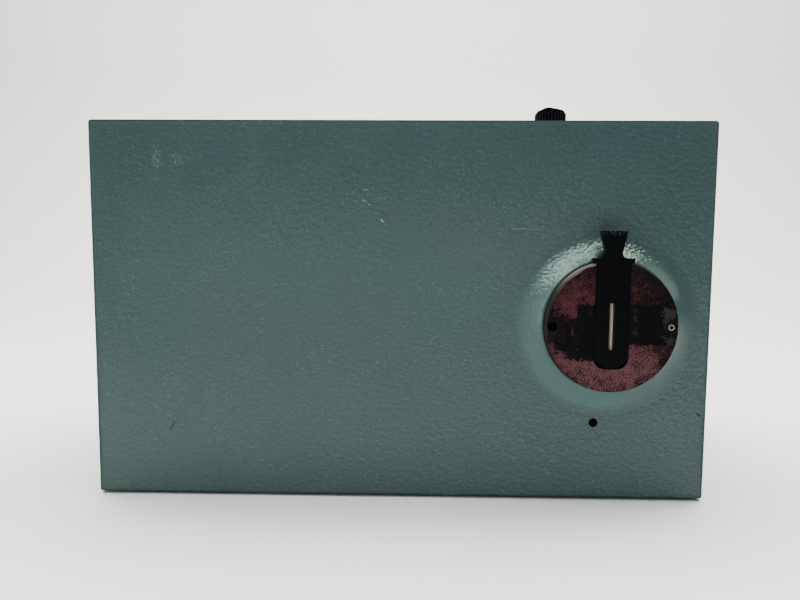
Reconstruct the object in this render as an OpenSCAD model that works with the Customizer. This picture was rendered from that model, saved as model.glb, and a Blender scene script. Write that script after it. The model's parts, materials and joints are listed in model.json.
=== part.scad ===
// Compact grating monochromator with lift-out slit slides.
// A cast box carries two flared ports in line, one at the front and one at the back, near its
// right-hand end. Behind them two fold mirrors face a concave grating at the left-hand end. A
// fluted knob on the roof turns a lead screw through mitre gears, and the nut on that screw
// pushes the arm that turns the grating. Millimetres, +Z up, front face towards -Y. The origin
// is the middle of the base, on the surface that the feet stand on.

/* [Housing] */
// Width across the front face
body_w = 280; // [270:1:300]
// Depth from front to back
body_d = 140; // [138:1:160]
// Height of the cast box
body_h = 171.2; // [168:0.2:190]
// Thickness of the cast walls
wall = 6; // [5:0.5:7]
// Rounding of the outer edges
edge_r = 1.4; // [0.6:0.1:3]
// Height of the box's rim above the surface
rim_gap = 0.8; // [0.6:0.1:3]

/* [Base] */
// Thickness of the base plate
base_t = 5; // [4:0.5:8]
// How far the base plate lies above the rim
base_recess = 0.4; // [0.2:0.1:2]
// Gap around the base plate
base_fit = 0.3; // [0.1:0.05:1]
// Diameter of each rubber foot
foot_d = 16; // [10:1:22]
// Distance from the box's sides to the middle of a foot
foot_inset = 26; // [22:1:36]
// Depth of the pocket that each foot sits in
foot_pocket = 2; // [1:0.2:3]
// Radius of the screw bosses in the corners
base_boss_r = 6; // [5:0.5:8]
// Height of the screw bosses above the base plate
base_boss_h = 22; // [18:1:40]

/* [Ports] */
// Distance from the right-hand side to the port axis
port_inset = 47; // [46:1:60]
// Distance from the roof down to the port axis
port_drop = 90.4; // [88:0.2:92]
// Radius at which the flare runs out into the face
flare_r = 43; // [42:0.5:46]
// Radius of the flare's concave curve
flare_curve = 19.3; // [16:0.1:22]
// Height of the flared boss above the face
flare_h = 5; // [4:0.2:6]
// Diameter of the slit mount
mount_d = 57.6; // [56:0.2:58]
// Thickness of the slit mount above the boss
mount_t = 4.2; // [4:0.1:6]
// Diameter of the light bore behind the slit mount
bore_d = 40; // [36:1:42]
// Length of the spigot that centres the slit mount
spigot_l = 5; // [3:0.5:6]
// Radial clearance around the spigot
spigot_fit = 0.1; // [0.05:0.05:0.3]
// Distance between the slit mount's two screws
mount_screw_gap = 51.8; // [51:0.1:52.4]
// Diameter of the index pin beside the slit mount
index_pin_d = 4.2; // [3:0.1:4.4]
// How far the index pin stands sideways from the port axis
index_pin_side = 4.2; // [3:0.1:6]
// How far the index pin stands out of the face
index_pin_out = 5.8; // [5.4:0.1:6.4]
// Diameter of the accessory hole below each port
accessory_d = 4; // [3:0.1:5]
// Depth of the accessory hole
accessory_depth = 14; // [10:1:18]
// Accessory hole sideways from the port axis
accessory_side = 4.2; // [3:0.1:6]
// Accessory hole below the port axis
accessory_drop = 45.2; // [45:0.1:48]

/* [Slit slide] */
// Width of the slide at its front
slide_w = 15.2; // [14:0.1:16]
// Thickness of the slide
slide_t = 3.1; // [2.8:0.1:3.4]
// How far each dovetail flank runs out towards the back
dovetail_out = 0.8; // [0.4:0.1:1]
// Height of the slanted part of the dovetail
dovetail_h = 2; // [1.6:0.1:2.2]
// Clearance between slide and channel on every side
slide_fit = 0.1; // [0.06:0.02:0.16]
// Depth of the channel in the slit mount
channel_depth = 3; // [2.6:0.1:3.2]
// Distance from the port axis down to the channel's end
channel_end = 18.7; // [18.6:0.1:20]
// Radius of the channel's two lower corners
channel_corner = 5; // [4.5:0.1:5.2]
// Distance from the port axis down to the slide's bottom edge
slide_drop = 18.2; // [16:0.1:18.4]
// Cut on the slide's two bottom corners
slide_corner = 5.1; // [4.9:0.1:5.6]
// Width across the shoulders that stop the slide
shoulder_w = 18; // [17.8:0.1:20]
// Height of the shoulders
shoulder_h = 2.1; // [2:0.1:4]
// Width of the finger grip at its top
grip_w = 11.7; // [9:0.1:14]
// Width of the grip's waist
waist_w = 7.1; // [6:0.1:9]
// Radius between the waist and the shoulders
waist_r = 2.7; // [2:0.1:4]
// Height of the grip above the shoulders
grip_h = 11.9; // [10:0.1:14]
// Width of the slit window
window_w = 2.2; // [1.6:0.1:3]
// Height of the slit window
window_h = 20.8; // [16:0.2:21]
// Gap between the two slit blades
slit_gap = 0.3; // [0.1:0.05:0.6]
// Thickness of a slit blade
blade_t = 0.4; // [0.2:0.05:0.5]
// Width of a slit blade
blade_w = 5; // [3:0.1:5.4]

/* [Optics] */
// Distance from the left-hand side to the grating axis
grating_inset = 40; // [38:1:44]
// Width and height of the grating
grating_w = 50; // [40:1:52]
// Thickness of the grating
grating_t = 10; // [8:0.5:12]
// Radius of the grating's concave face
grating_curve = 400; // [300:10:600]
// Distance from the grating's middle plane to each fold mirror's centre
mirror_offset = 22; // [20:1:24]
// Width of a fold mirror
mirror_w = 40; // [30:1:42]
// Height of a fold mirror
mirror_h = 44; // [36:1:50]
// Thickness of a fold mirror
mirror_t = 5; // [3:0.5:6]
// Thickness of the mirror stand's walls
stand_t = 6; // [4:0.5:8]
// How far each of those walls runs past its mirror
stand_past = 6; // [4:0.5:8]
// Thickness of the baffle
baffle_t = 1.5; // [1:0.1:2.5]
// Distance from the port axis to the baffle
baffle_back = 73; // [70:1:90]
// Width of each of the baffle's two openings
baffle_hole_w = 28; // [20:1:30]
// Height of those openings
baffle_hole_h = 50; // [40:1:54]

/* [Drive] */
// Distance from the front face to the knob axis
knob_setback = 30; // [29:0.5:34]
// Distance from the port axis to the knob axis, towards the left
knob_side = 21; // [20:0.5:26]
// Depth of the lead screw's axis below the roof
drive_drop = 20; // [19.5:0.5:22]
// Thickness of the drive plate
plate_t = 5; // [4:0.5:5.5]
// Gap between the roof and the drive plate
plate_gap = 2.5; // [2:0.5:2.5]
// Diameter of the shafts
shaft_d = 5; // [4:0.5:5]
// Diameter of the lead screw where the nut runs
screw_d = 8; // [7:0.5:8]
// Radial clearance of every shaft in its bearing
run_fit = 0.05; // [0.02:0.01:0.08]
// Number of teeth on each mitre gear
mitre_teeth = 16; // [14:2:18]
// Module of the mitre gears
mitre_m = 1; // [0.9:0.05:1]
// Length of the nut
nut_l = 18; // [14:1:20]
// Width and height of the nut
nut_w = 18; // [17:0.5:20]
// Distance from the lead screw to the guide rod
guide_gap = 20; // [19:0.5:21]
// Distance between the left and the middle bearing block
block_span = 87; // [85:1:92]
// Depth of the arm's ball below the lead screw
ball_drop = 13.5; // [13:0.5:16]
// Diameter of the arm's ball
ball_d = 8; // [6:0.5:8]
// How far the ball's centre lies in front of the lead screw's axis
ball_past = 1.4; // [0:0.1:2]
// Gap between the ball and the pusher plate
ball_fit = 0.3; // [0.2:0.05:0.5]
// Diameter of the grating shaft
pivot_d = 8; // [6:0.5:8]

/* [Counter] */
// Diameter of the number drums
drum_d = 28; // [24:0.5:29]
// Width of a number drum
drum_w = 11; // [9:0.5:12]
// Module of the counter gears
counter_m = 0.6; // [0.5:0.05:0.6]
// Thickness of the counter gears
counter_gear_t = 4; // [3:0.5:4]
// Length of the window over the drums
window_len = 21; // [18:0.5:23]
// Width of the window over the drums
window_wide = 11; // [8:0.5:14]
// Ledge that the glass rests on
window_ledge = 2.5; // [1.5:0.5:4]
// Thickness of the glass
glass_t = 1.9; // [1:0.1:2.5]

/* [Knob] */
// Diameter of the knob
knob_d = 14.8; // [12:0.2:18]
// Height of the knob
knob_h = 10.8; // [10:0.2:16]
// Gap between the knob and the roof
knob_gap = 0.6; // [0.4:0.1:2]
// Number of flutes
flutes = 30; // [16:1:32]
// Diameter of each flute
flute_d = 1.1; // [0.8:0.1:1.2]

/* [Hidden] */
$fn = 96;

joint = 0.05;              // gap between pieces that are fastened face to face
over = 1;                  // how far a cutter runs past the face that it cuts

// Levels and half sizes of the box
top_z = rim_gap + body_h;
roof_z = top_z - wall;
cave_x = body_w / 2 - wall;
cave_y = body_d / 2 - wall;
plate_z = rim_gap + base_recess;
floor_z = plate_z + base_t;

// Screw sizes: radius of the thread, of the head, and the head's height
m4 = [2, 3.5, 2.4];
m3 = [1.5, 2.75, 1.8];
m2 = [1, 1.9, 2];
thread_fit = 0.05;
base_screw_l = 16;

// Ports
port_x = body_w / 2 - port_inset;
port_z = top_z - port_drop;
mount_r = mount_d / 2;
mount_top = flare_h + mount_t;
counterbore_r = 2.2;
counterbore_depth = 2.2;
index_pin_ring = mount_r + index_pin_d / 2 + 0.2;
index_pin_up = sqrt(pow(index_pin_ring, 2) - pow(index_pin_side, 2));
index_pin_sunk = 5;

// Slide, measured from the port axis and from the channel's floor
channel_z = mount_top - channel_depth;
shoulder_y = sqrt(pow(mount_r, 2) - pow(slide_w / 2 + slide_fit, 2)) + slide_fit;
slide_z = channel_z + slide_fit;
blade_h = window_h + 3;

// Grating and mirrors
grating_x = -body_w / 2 + grating_inset;
cell_fit = 0.15;
cell_wall = 5.5;
ear_t = 6;
ear_r = 8;
cell_low = port_z - grating_w / 2 - cell_fit - ear_t;
cell_high = port_z + grating_w / 2 + cell_fit + ear_t;
stand_apex = port_x - mirror_offset + (mirror_t + joint) * sqrt(2);
stand_top = port_z + mirror_h / 2 + 4;
stand_foot_t = 6;
stand_reach = (mirror_w + stand_past) / sqrt(2);
baffle_x = port_x - baffle_back;
baffle_foot = 14;

// Knob
ridge_w = 3;
set_screw_r = 1.25;
set_screw_z = 3.2;

// Drive
knob_x = port_x - knob_side;
drive_y = -body_d / 2 + knob_setback;
drive_z = roof_z - drive_drop;
plate_top = roof_z - plate_gap;
plate_low = plate_top - plate_t;
shaft_r = shaft_d / 2;
screw_r = screw_d / 2;
block_t = 6;
block_r = 9;
guide_y = drive_y + guide_gap;
guide_r = 2.5;
arm_l = -drive_y + ball_past;
ball_z = drive_z - ball_drop;
ball_r = ball_d / 2;
pusher_x = grating_x + ball_r + ball_fit;
pusher_t = 4;
nut_x = pusher_x + pusher_t + joint;
arm_t = 7;
arm_w = 10;
arm_tip_w = 5;
arm_hub_r = 9;
arm_tail = 20;
pivot_r = pivot_d / 2;
bearing_r = pivot_r + 4;
bearing_t = 6;
bearing_z = cell_low - 6;
left_block_x = -body_w / 2 + 16;
middle_block_x = left_block_x + block_span;
screw_end_x = left_block_x - block_t / 2 - 1;
plate_edge = 6;
plate_screws_x = [left_block_x, middle_block_x + 17, knob_x + 7];
plate_screws_y = [drive_y - 16, bearing_r];
spring_wire = 0.8;
spring_r = 2.4;
spring_turns = 14;
spring_pin_r = 1.25;
spring_l = 24;
spring_rise = 3.3;

// Mitre gears: cone distances and angles from the apex, teeth cut as straight V slots
mitre_r = mitre_m * mitre_teeth / 2;
mitre_out = mitre_r * sqrt(2);
mitre_in = mitre_out * 0.67;
mitre_add = 0.7 * mitre_m;
mitre_ded = 1.4 * mitre_m;
mitre_tip = 45 + atan(mitre_add / mitre_out);
mitre_root = 45 - atan(mitre_ded / mitre_out);
mitre_body = mitre_root - 2;
mitre_flank = 33;
mitre_hub_r = 5;
mitre_back = 9.5;
right_block_x = knob_x - mitre_back - 5.5 - block_t / 2;

// Counter: 14 teeth drive 56, and 20 on the same idler drive 50, so the coarse drum turns once
// for ten turns of the fine one
pinion_teeth = 14;
idler_big_teeth = 56;
idler_small_teeth = 20;
drum_teeth = 50;
idler_gap = counter_m * (pinion_teeth + idler_big_teeth) / 2;
idler_y = drive_y + idler_gap / sqrt(2);
idler_z = drive_z - idler_gap / sqrt(2);
pinion_x = right_block_x - block_t / 2 - 1.5 - counter_gear_t;
drum_gear_x = pinion_x - 2.5 - counter_gear_t;
coarse_x = drum_gear_x - drum_w;
fine_x = coarse_x - 2 - drum_w;
spindle_r = 2;
window_x = (fine_x + drum_gear_x) / 2;

// ---------------------------------------------------------------- helpers

// Box by its lowest corner and its highest corner
module block(low, high) {
    translate(low) cube(high - low);
}

// Cylinder along X from x0 to x1
module x_rod(x0, x1, r) {
    translate([x0, 0, 0]) rotate([0, 90, 0]) cylinder(h = x1 - x0, r = r);
}

// Places a port's own frame: x to the right, y up, z out of the face
module at_front() {
    translate([port_x, -body_d / 2, port_z]) rotate([90, 0, 0]) children();
}

module at_rear() {
    translate([port_x, body_d / 2, port_z]) rotate([90, 0, 180]) children();
}

module at_drive() {
    translate([0, drive_y, drive_z]) children();
}

// Slot with round ends, as a flat outline
module slot(w, h) {
    square([w, h - w], center = true);
    for (s = [-1, 1]) translate([0, s * (h - w) / 2]) circle(d = w);
}

// Socket head screw along -Z, its seat at z = 0
module cap_screw(size, length, socket) {
    difference() {
        union() {
            cylinder(h = size[2], r = size[1]);
            translate([0, 0, -length]) cylinder(h = length + joint, r = size[0]);
        }
        translate([0, 0, size[2] * 0.4]) cylinder(h = size[2], r = socket, $fn = 6);
    }
}

// Half angle that a gear tooth spans at radius r, for an involute of the given base radius
function involute(a) = tan(a) * 180 / PI - a;
function tooth_half(r, base, half, press) =
    half + involute(press) - involute(acos(min(1, base / max(r, base))));

// Outline of a spur gear with involute teeth
module gear_outline(teeth, m) {
    press = 25;
    pitch = m * teeth / 2;
    base = pitch * cos(press);
    root = pitch - 1.15 * m;
    tip = pitch + 0.85 * m;
    slack = 0.1;
    half = 90 / teeth - slack / pitch * 90 / PI;
    steps = 3;
    low = max(root, base);
    function flank(k) = low + (tip - low) * k / steps;
    function flank_point(r, side) =
        let (a = side * tooth_half(max(r, base), base, half, press)) r * [cos(a), sin(a)];
    circle(r = root + 0.01);
    for (t = [0 : teeth - 1])
        rotate(t * 360 / teeth)
            polygon(concat(
                [[root - 0.3, 0], flank_point(root, -1)],
                [for (k = [0 : steps]) flank_point(flank(k), -1)],
                [for (k = [steps : -1 : 0]) flank_point(flank(k), 1)],
                [flank_point(root, 1)]
            ));
}

// Spur gear along +X with its face at x = 0
module spur_gear(teeth, m, thick) {
    rotate([90, 0, 90]) linear_extrude(thick) gear_outline(teeth, m);
}

// Point at a cone distance and an angle from the gear's axis
function cone_point(distance, angle) = distance * [sin(angle), cos(angle)];

// Mitre gear with its apex at the origin and its hub towards +Z
module mitre_gear(turn) {
    slot_h = mitre_ded + mitre_add + 0.2;
    rotate([0, 0, turn])
        difference() {
            rotate_extrude()
                polygon([
                    [shaft_r + run_fit, mitre_in * cos(mitre_body)],
                    cone_point(mitre_in, mitre_body),
                    cone_point(mitre_in, mitre_tip),
                    cone_point(mitre_out, mitre_tip),
                    cone_point(mitre_out, mitre_body),
                    [mitre_hub_r, mitre_out * cos(mitre_body)],
                    [mitre_hub_r, mitre_back],
                    [shaft_r + run_fit, mitre_back]
                ]);
            for (t = [0 : mitre_teeth - 1])
                rotate([0, 0, t * 360 / mitre_teeth])
                    rotate([0, mitre_root, 0])
                        translate([0, 0, mitre_in * 0.7])
                            linear_extrude(mitre_out)
                                polygon([
                                    [0, 0],
                                    [slot_h, slot_h * tan(mitre_flank)],
                                    [slot_h, -slot_h * tan(mitre_flank)]
                                ]);
        }
}

// ---------------------------------------------------------------- housing and base

// Solid box with every edge rounded
module rounded_box() {
    x = body_w / 2 - edge_r;
    y = body_d / 2 - edge_r;
    low = rim_gap + edge_r;
    high = top_z - edge_r;
    block([-x, -y, rim_gap], [x, y, top_z]);
    block([-x - edge_r, -y, low], [x + edge_r, y, high]);
    block([-x, -y - edge_r, low], [x, y + edge_r, high]);
    for (sx = [-1, 1], sy = [-1, 1]) {
        translate([sx * x, sy * y, low]) cylinder(h = high - low, r = edge_r);
        for (z = [low, high]) translate([sx * x, sy * y, z]) sphere(r = edge_r);
    }
    for (z = [low, high]) {
        for (sx = [-1, 1])
            translate([sx * x, y, z]) rotate([90, 0, 0]) cylinder(h = 2 * y, r = edge_r);
        for (sy = [-1, 1])
            translate([-x, sy * y, z]) rotate([0, 90, 0]) cylinder(h = 2 * x, r = edge_r);
    }
}

// Flared boss that rises from the face in a concave curve
module port_boss() {
    sink = 0.05;
    rotate_extrude()
        difference() {
            translate([0, -wall / 2]) square([flare_r, flare_h + wall / 2]);
            translate([flare_r, flare_curve - sink]) circle(r = flare_curve, $fn = 180);
            translate([flare_r - 2, -wall]) square([3, wall - sink]);
        }
}

// What is drilled into the housing at a port
module port_cuts() {
    translate([0, 0, -wall - over]) cylinder(h = wall + flare_h + 2 * over, d = bore_d);
    for (s = [-1, 1])
        translate([s * mount_screw_gap / 2, 0, -wall / 2])
            cylinder(h = flare_h + wall / 2 + over, r = m2[0] + thread_fit);
    translate([-index_pin_side, index_pin_up, flare_h - index_pin_sunk - joint])
        cylinder(h = index_pin_sunk + over, r = index_pin_d / 2 + thread_fit);
    translate([-accessory_side, -accessory_drop, -accessory_depth])
        cylinder(h = accessory_depth + over, d = accessory_d);
}

// Metal behind the accessory hole
module accessory_boss() {
    translate([-accessory_side, -accessory_drop, -accessory_depth - 2])
        cylinder(h = accessory_depth + 2 - wall / 2, d = accessory_d + 8);
}

function base_screw_places() = [
    for (x = [-1, 0, 1], y = [-1, 1]) [x * (cave_x - 5), y * (cave_y - 5)]
];

module housing() {
    color([0.27, 0.38, 0.36])
        difference() {
            union() {
                difference() {
                    rounded_box();
                    block([-cave_x, -cave_y, rim_gap - over], [cave_x, cave_y, roof_z]);
                }
                for (p = base_screw_places())
                    translate([p[0], p[1], floor_z + joint])
                        cylinder(h = base_boss_h, r = base_boss_r);
                for (x = plate_screws_x, y = plate_screws_y)
                    translate([x, y, plate_top + joint])
                        cylinder(h = plate_gap + wall / 2, r = 5);
                at_front() { port_boss(); accessory_boss(); }
                at_rear() { port_boss(); accessory_boss(); }
            }
            for (p = base_screw_places())
                translate([p[0], p[1], floor_z])
                    cylinder(h = base_screw_l - base_t + 2, r = m4[0] + thread_fit);
            for (x = plate_screws_x, y = plate_screws_y)
                translate([x, y, plate_top])
                    cylinder(h = plate_gap + wall / 2 - joint, r = m4[0] + thread_fit);
            at_front() port_cuts();
            at_rear() port_cuts();
            translate([knob_x, drive_y, roof_z - over])
                cylinder(h = wall + 2 * over, r = shaft_r + 2 + thread_fit);
            translate([window_x, drive_y, 0]) {
                block([-window_len / 2, -window_wide / 2, roof_z - over],
                      [window_len / 2, window_wide / 2, top_z + over]);
                block([-window_len / 2 - window_ledge, -window_wide / 2 - window_ledge,
                       top_z - glass_t - 0.1],
                      [window_len / 2 + window_ledge, window_wide / 2 + window_ledge,
                       top_z + over]);
            }
        }
}

function foot_places() = [
    for (x = [-1, 1], y = [-1, 1])
        [x * (body_w / 2 - foot_inset), y * (body_d / 2 - foot_inset)]
];

function stand_screw_places() = [
    for (x = [6, stand_reach - m3[1] * sqrt(2) - 1], y = [-1, 1])
        [stand_apex + x, y * stand_reach]
];

function baffle_screw_places() = [
    for (y = [-1, 1]) [baffle_x + baffle_foot - 6, y * (baffle_hole_w + 12)]
];

module base_plate() {
    x = cave_x - base_fit;
    y = cave_y - base_fit;
    color([0.12, 0.12, 0.12])
        difference() {
            block([-x, -y, plate_z], [x, y, floor_z]);
            for (p = foot_places())
                translate([p[0], p[1], plate_z - over])
                    cylinder(h = foot_pocket + over, d = foot_d + 0.2);
            for (p = base_screw_places())
                translate([p[0], p[1], plate_z - over]) {
                    cylinder(h = base_t + 2 * over, r = m4[0] + 0.25);
                    cylinder(h = m4[2] + 0.2 + over, r = m4[1] + 0.25);
                }
            for (p = concat(stand_screw_places(), baffle_screw_places()))
                translate([p[0], p[1], floor_z - 3.5])
                    cylinder(h = 3.5 + over, r = m3[0] + thread_fit);
        }
}

module feet() {
    color([0.08, 0.08, 0.08])
        for (p = foot_places())
            translate([p[0], p[1], 0])
                cylinder(h = plate_z + foot_pocket - joint, d = foot_d);
}

module base_screws() {
    color("silver")
        for (p = base_screw_places())
            translate([p[0], p[1], plate_z + m4[2] + 0.2])
                mirror([0, 0, 1]) cap_screw(m4, base_screw_l - 4, 1.4);
}

// ---------------------------------------------------------------- slit mounts and slides

// Cross-section of the dovetail: x across, y out from the channel's floor
module dovetail(grow, height) {
    w = slide_w / 2 + grow;
    polygon([
        [-w - dovetail_out, -grow], [w + dovetail_out, -grow],
        [w, dovetail_h], [w, height], [-w, height], [-w, dovetail_h]
    ]);
}

// Half of the cutter that mills the channel and its end, to the radius that it has at the face
module channel_cutter(r) {
    polygon([
        [0, -slide_fit], [r + dovetail_out, -slide_fit], [r, dovetail_h],
        [r, channel_depth + over], [0, channel_depth + over]
    ]);
}

// Dovetail channel: a straight run, and an end wall between two rounded corners
module channel() {
    side = slide_w / 2 + slide_fit - channel_corner;
    translate([0, channel_corner - channel_end, slide_z]) {
        rotate([90, 0, 180])
            linear_extrude(channel_end - channel_corner + mount_r + over)
                dovetail(slide_fit, channel_depth + over);
        for (s = [-1, 1])
            translate([s * side, 0, 0]) rotate_extrude() channel_cutter(channel_corner);
        translate([-side, 0, 0])
            rotate([90, 0, 90])
                linear_extrude(2 * side) mirror([1, 0]) channel_cutter(channel_corner);
    }
}

module slit_mount() {
    color([0.33, 0.14, 0.16])
        difference() {
            union() {
                translate([0, 0, flare_h + joint]) cylinder(h = mount_t - joint, r = mount_r);
                translate([0, 0, flare_h - spigot_l])
                    cylinder(h = spigot_l + 2 * joint, r = bore_d / 2 - spigot_fit);
            }
            channel();
            translate([0, 0, flare_h - spigot_l - over])
                linear_extrude(mount_t + spigot_l + 2 * over) slot(8, window_h + 6);
            for (s = [-1, 1])
                translate([s * mount_screw_gap / 2, 0, 0]) {
                    translate([0, 0, flare_h - over])
                        cylinder(h = mount_t + 2 * over, r = m2[0] + 0.2);
                    translate([0, 0, mount_top - counterbore_depth])
                        cylinder(h = counterbore_depth + over, r = counterbore_r);
                }
        }
}

module front_slit_mount() { at_front() slit_mount(); }
module rear_slit_mount() { at_rear() slit_mount(); }

// The front mount's left-hand screw is missing, as on the real instrument
module slit_mount_screws() {
    seat = mount_top - counterbore_depth + joint;
    color([0.75, 0.74, 0.7]) {
        at_front() translate([mount_screw_gap / 2, 0, seat]) cap_screw(m2, 7, 0.85);
        at_rear()
            for (s = [-1, 1]) translate([s * mount_screw_gap / 2, 0, seat]) cap_screw(m2, 7, 0.85);
    }
}

module index_pin() {
    translate([-index_pin_side, index_pin_up, flare_h - index_pin_sunk])
        cylinder(h = index_pin_sunk + index_pin_out - flare_h, d = index_pin_d);
}

module index_pins() {
    color([0.3, 0.42, 0.4]) { at_front() index_pin(); at_rear() index_pin(); }
}

// Outline of the slide as seen from the front
module slide_outline() {
    half = slide_w / 2 + dovetail_out;
    polygon([
        [-half + slide_corner, -slide_drop], [half - slide_corner, -slide_drop],
        [half, -slide_drop + slide_corner - 0.2], [half, shoulder_y + joint],
        [-half, shoulder_y + joint], [-half, -slide_drop + slide_corner - 0.2]
    ]);
}

// Shoulders, and above them the grip that widens from its waist
module grip_outline() {
    top = shoulder_y + shoulder_h;
    translate([-shoulder_w / 2, shoulder_y]) square([shoulder_w, shoulder_h]);
    polygon([
        [-waist_w / 2, top - joint], [waist_w / 2, top - joint], [waist_w / 2, top + waist_r],
        [grip_w / 2, top + grip_h], [-grip_w / 2, top + grip_h], [-waist_w / 2, top + waist_r]
    ]);
    for (s = [0, 1])
        mirror([s, 0])
            difference() {
                translate([waist_w / 2 - joint, top - joint]) square(waist_r + joint);
                translate([waist_w / 2 + waist_r, top + waist_r]) circle(r = waist_r);
            }
}

module slit_slide() {
    color([0.05, 0.05, 0.05])
        difference() {
            union() {
                intersection() {
                    translate([0, 0, slide_z]) linear_extrude(slide_t) slide_outline();
                    translate([0, -slide_drop - over, slide_z])
                        rotate([90, 0, 180])
                            linear_extrude(slide_drop + shoulder_y + 2 * over)
                                dovetail(0, slide_t);
                }
                translate([0, 0, slide_z]) linear_extrude(slide_t) grip_outline();
            }
            translate([-window_w / 2, -window_h / 2, slide_z - over])
                cube([window_w, window_h, slide_t + 2 * over]);
            translate([-blade_w - 0.5, -blade_h / 2 - 0.5, slide_z - over])
                cube([2 * blade_w + 1, blade_h + 1, blade_t + 0.1 + over]);
        }
}

module slit_blades() {
    color([0.74, 0.7, 0.6])
        for (s = [-1, 1])
            translate([s * (blade_w + slit_gap / 2) / 2, 0, slide_z + blade_t / 2 + 0.05])
                cube([blade_w - slit_gap / 2, blade_h, blade_t], center = true);
}

module front_slit_slide() { at_front() slit_slide(); }
module rear_slit_slide() { at_rear() slit_slide(); }
module front_slit_blades() { at_front() slit_blades(); }
module rear_slit_blades() { at_rear() slit_blades(); }

// ---------------------------------------------------------------- knob and drive

module knob() {
    z0 = top_z + knob_gap;
    r = knob_d / 2;
    cap_r = r - 1.1;
    cap_z = knob_h - 1.8;
    dome = 0.9;
    color([0.06, 0.06, 0.06])
        translate([knob_x, drive_y, z0])
            difference() {
                union() {
                    rotate_extrude()
                        polygon([
                            [0, 0], [r - 0.6, 0], [r, 0.6], [r, cap_z - 1.7],
                            [cap_r, cap_z], [cap_r * 0.6, cap_z + dome], [0, cap_z + dome]
                        ]);
                    // Index ridge across the cap, with its crest left of the middle
                    translate([0, ridge_w / 2, cap_z])
                        rotate([90, 0, 0])
                            linear_extrude(ridge_w)
                                polygon([
                                    [-cap_r + 0.2, -0.2], [-cap_r * 0.5, 1.35],
                                    [-cap_r * 0.2, knob_h - cap_z], [cap_r * 0.45, 1.2],
                                    [cap_r * 0.8, 0.6], [cap_r - 0.2, -0.2]
                                ]);
                }
                for (t = [0 : flutes - 1])
                    rotate([0, 0, (t + 0.5) * 360 / flutes])
                        translate([r + flute_d * 0.12, 0, 0.9])
                            cylinder(h = knob_h, d = flute_d, $fn = 24);
                translate([0, 0, -over])
                    cylinder(h = cap_z - 1.2 + over, r = shaft_r + run_fit);
                translate([0, 0, set_screw_z])
                    rotate([0, 90, 0]) cylinder(h = r + over, r = set_screw_r + thread_fit);
            }
}

module knob_set_screw() {
    color("dimgray")
        translate([knob_x, drive_y, top_z + knob_gap + set_screw_z])
            rotate([0, 90, 0])
                translate([0, 0, shaft_r + joint])
                    difference() {
                        cylinder(h = knob_d / 2 - shaft_r - 1.5, r = set_screw_r);
                        translate([0, 0, 1.5])
                            cylinder(h = knob_d, r = set_screw_r * 0.55, $fn = 6);
                    }
}

module knob_shaft() {
    color("silver")
        translate([knob_x, drive_y, drive_z + mitre_in * cos(mitre_body) - 0.3])
            cylinder(
                h = top_z + knob_gap + knob_h - 3.5 - drive_z - mitre_in * cos(mitre_body),
                r = shaft_r
            );
}

module knob_bush() {
    color([0.72, 0.58, 0.3])
        translate([knob_x, drive_y, 0])
            difference() {
                union() {
                    translate([0, 0, plate_low - 1.8])
                        cylinder(h = top_z + 0.3 - plate_low + 1.8, r = shaft_r + 2);
                    translate([0, 0, plate_low - 1.8]) cylinder(h = 1.75, r = shaft_r + 5);
                }
                translate([0, 0, plate_low - 3]) cylinder(h = top_z, r = shaft_r + run_fit);
            }
}

module knob_gear() {
    color([0.72, 0.58, 0.3]) translate([knob_x, drive_y, drive_z]) mitre_gear(0);
}

// Turned by half a tooth, so that its slots take the other gear's teeth
module screw_gear() {
    color([0.72, 0.58, 0.3])
        translate([knob_x, drive_y, drive_z])
            rotate([0, -90, 0]) mitre_gear(180 / mitre_teeth);
}

module lead_screw() {
    right_end = knob_x - mitre_in * cos(mitre_body) + 0.3;
    thread_x = middle_block_x - block_t / 2 - 2;
    color("silver")
        at_drive() {
            x_rod(screw_end_x, right_end, shaft_r);
            x_rod(left_block_x + block_t / 2 + 1.5, thread_x, screw_r);
        }
}

module screw_bushes() {
    color([0.72, 0.58, 0.3])
        at_drive()
            for (x = [left_block_x, middle_block_x, right_block_x])
                difference() {
                    x_rod(x - block_t / 2, x + block_t / 2, shaft_r + 2);
                    x_rod(x - block_t, x + block_t, shaft_r + run_fit);
                }
}

module drive_plate() {
    x0 = plate_screws_x[0] - plate_edge - 1;
    x1 = plate_screws_x[2] + plate_edge;
    y0 = plate_screws_y[0] - plate_edge;
    y1 = plate_screws_y[1] + plate_edge;
    color([0.68, 0.69, 0.7])
        difference() {
            block([x0, y0, plate_low], [x1, y1, plate_top]);
            translate([grating_x, 0, plate_low - over])
                cylinder(h = plate_t + 2 * over, r = bearing_r + thread_fit);
            translate([knob_x, drive_y, plate_low - over])
                cylinder(h = plate_t + 2 * over, r = shaft_r + 2 + thread_fit);
            for (x = plate_screws_x, y = plate_screws_y)
                translate([x, y, plate_low - over])
                    cylinder(h = plate_t + 2 * over, r = m4[0] + 0.25);
            // Room for the drums
            block([fine_x - 2, drive_y - drum_d / 2 - 3, plate_low - over],
                  [pinion_x + 1, drive_y + drum_d / 2 + 3, plate_top + over]);
            block([plate_screws_x[1] - 3, guide_y + 4, plate_low - over],
                  [fine_x + drum_w, plate_screws_y[1] - 4, plate_top + over]);
        }
}

module drive_plate_screws() {
    color("silver")
        for (x = plate_screws_x, y = plate_screws_y)
            translate([x, y, plate_low - joint])
                mirror([0, 0, 1]) cap_screw(m4, plate_t + plate_gap + 2, 1.6);
}

// Outline in Y and Z of a bearing block, round at each bore and flat against the drive plate
module block_outline(places) {
    for (p = places) {
        translate([p[0], p[1]]) circle(r = block_r);
        translate([p[0] - block_r, p[1]]) square([2 * block_r, plate_low - joint - p[1]]);
    }
    if (len(places) > 1)
        translate([places[0][0], drive_z - 4])
            square([places[1][0] - places[0][0], plate_low - joint - drive_z + 4]);
}

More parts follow.
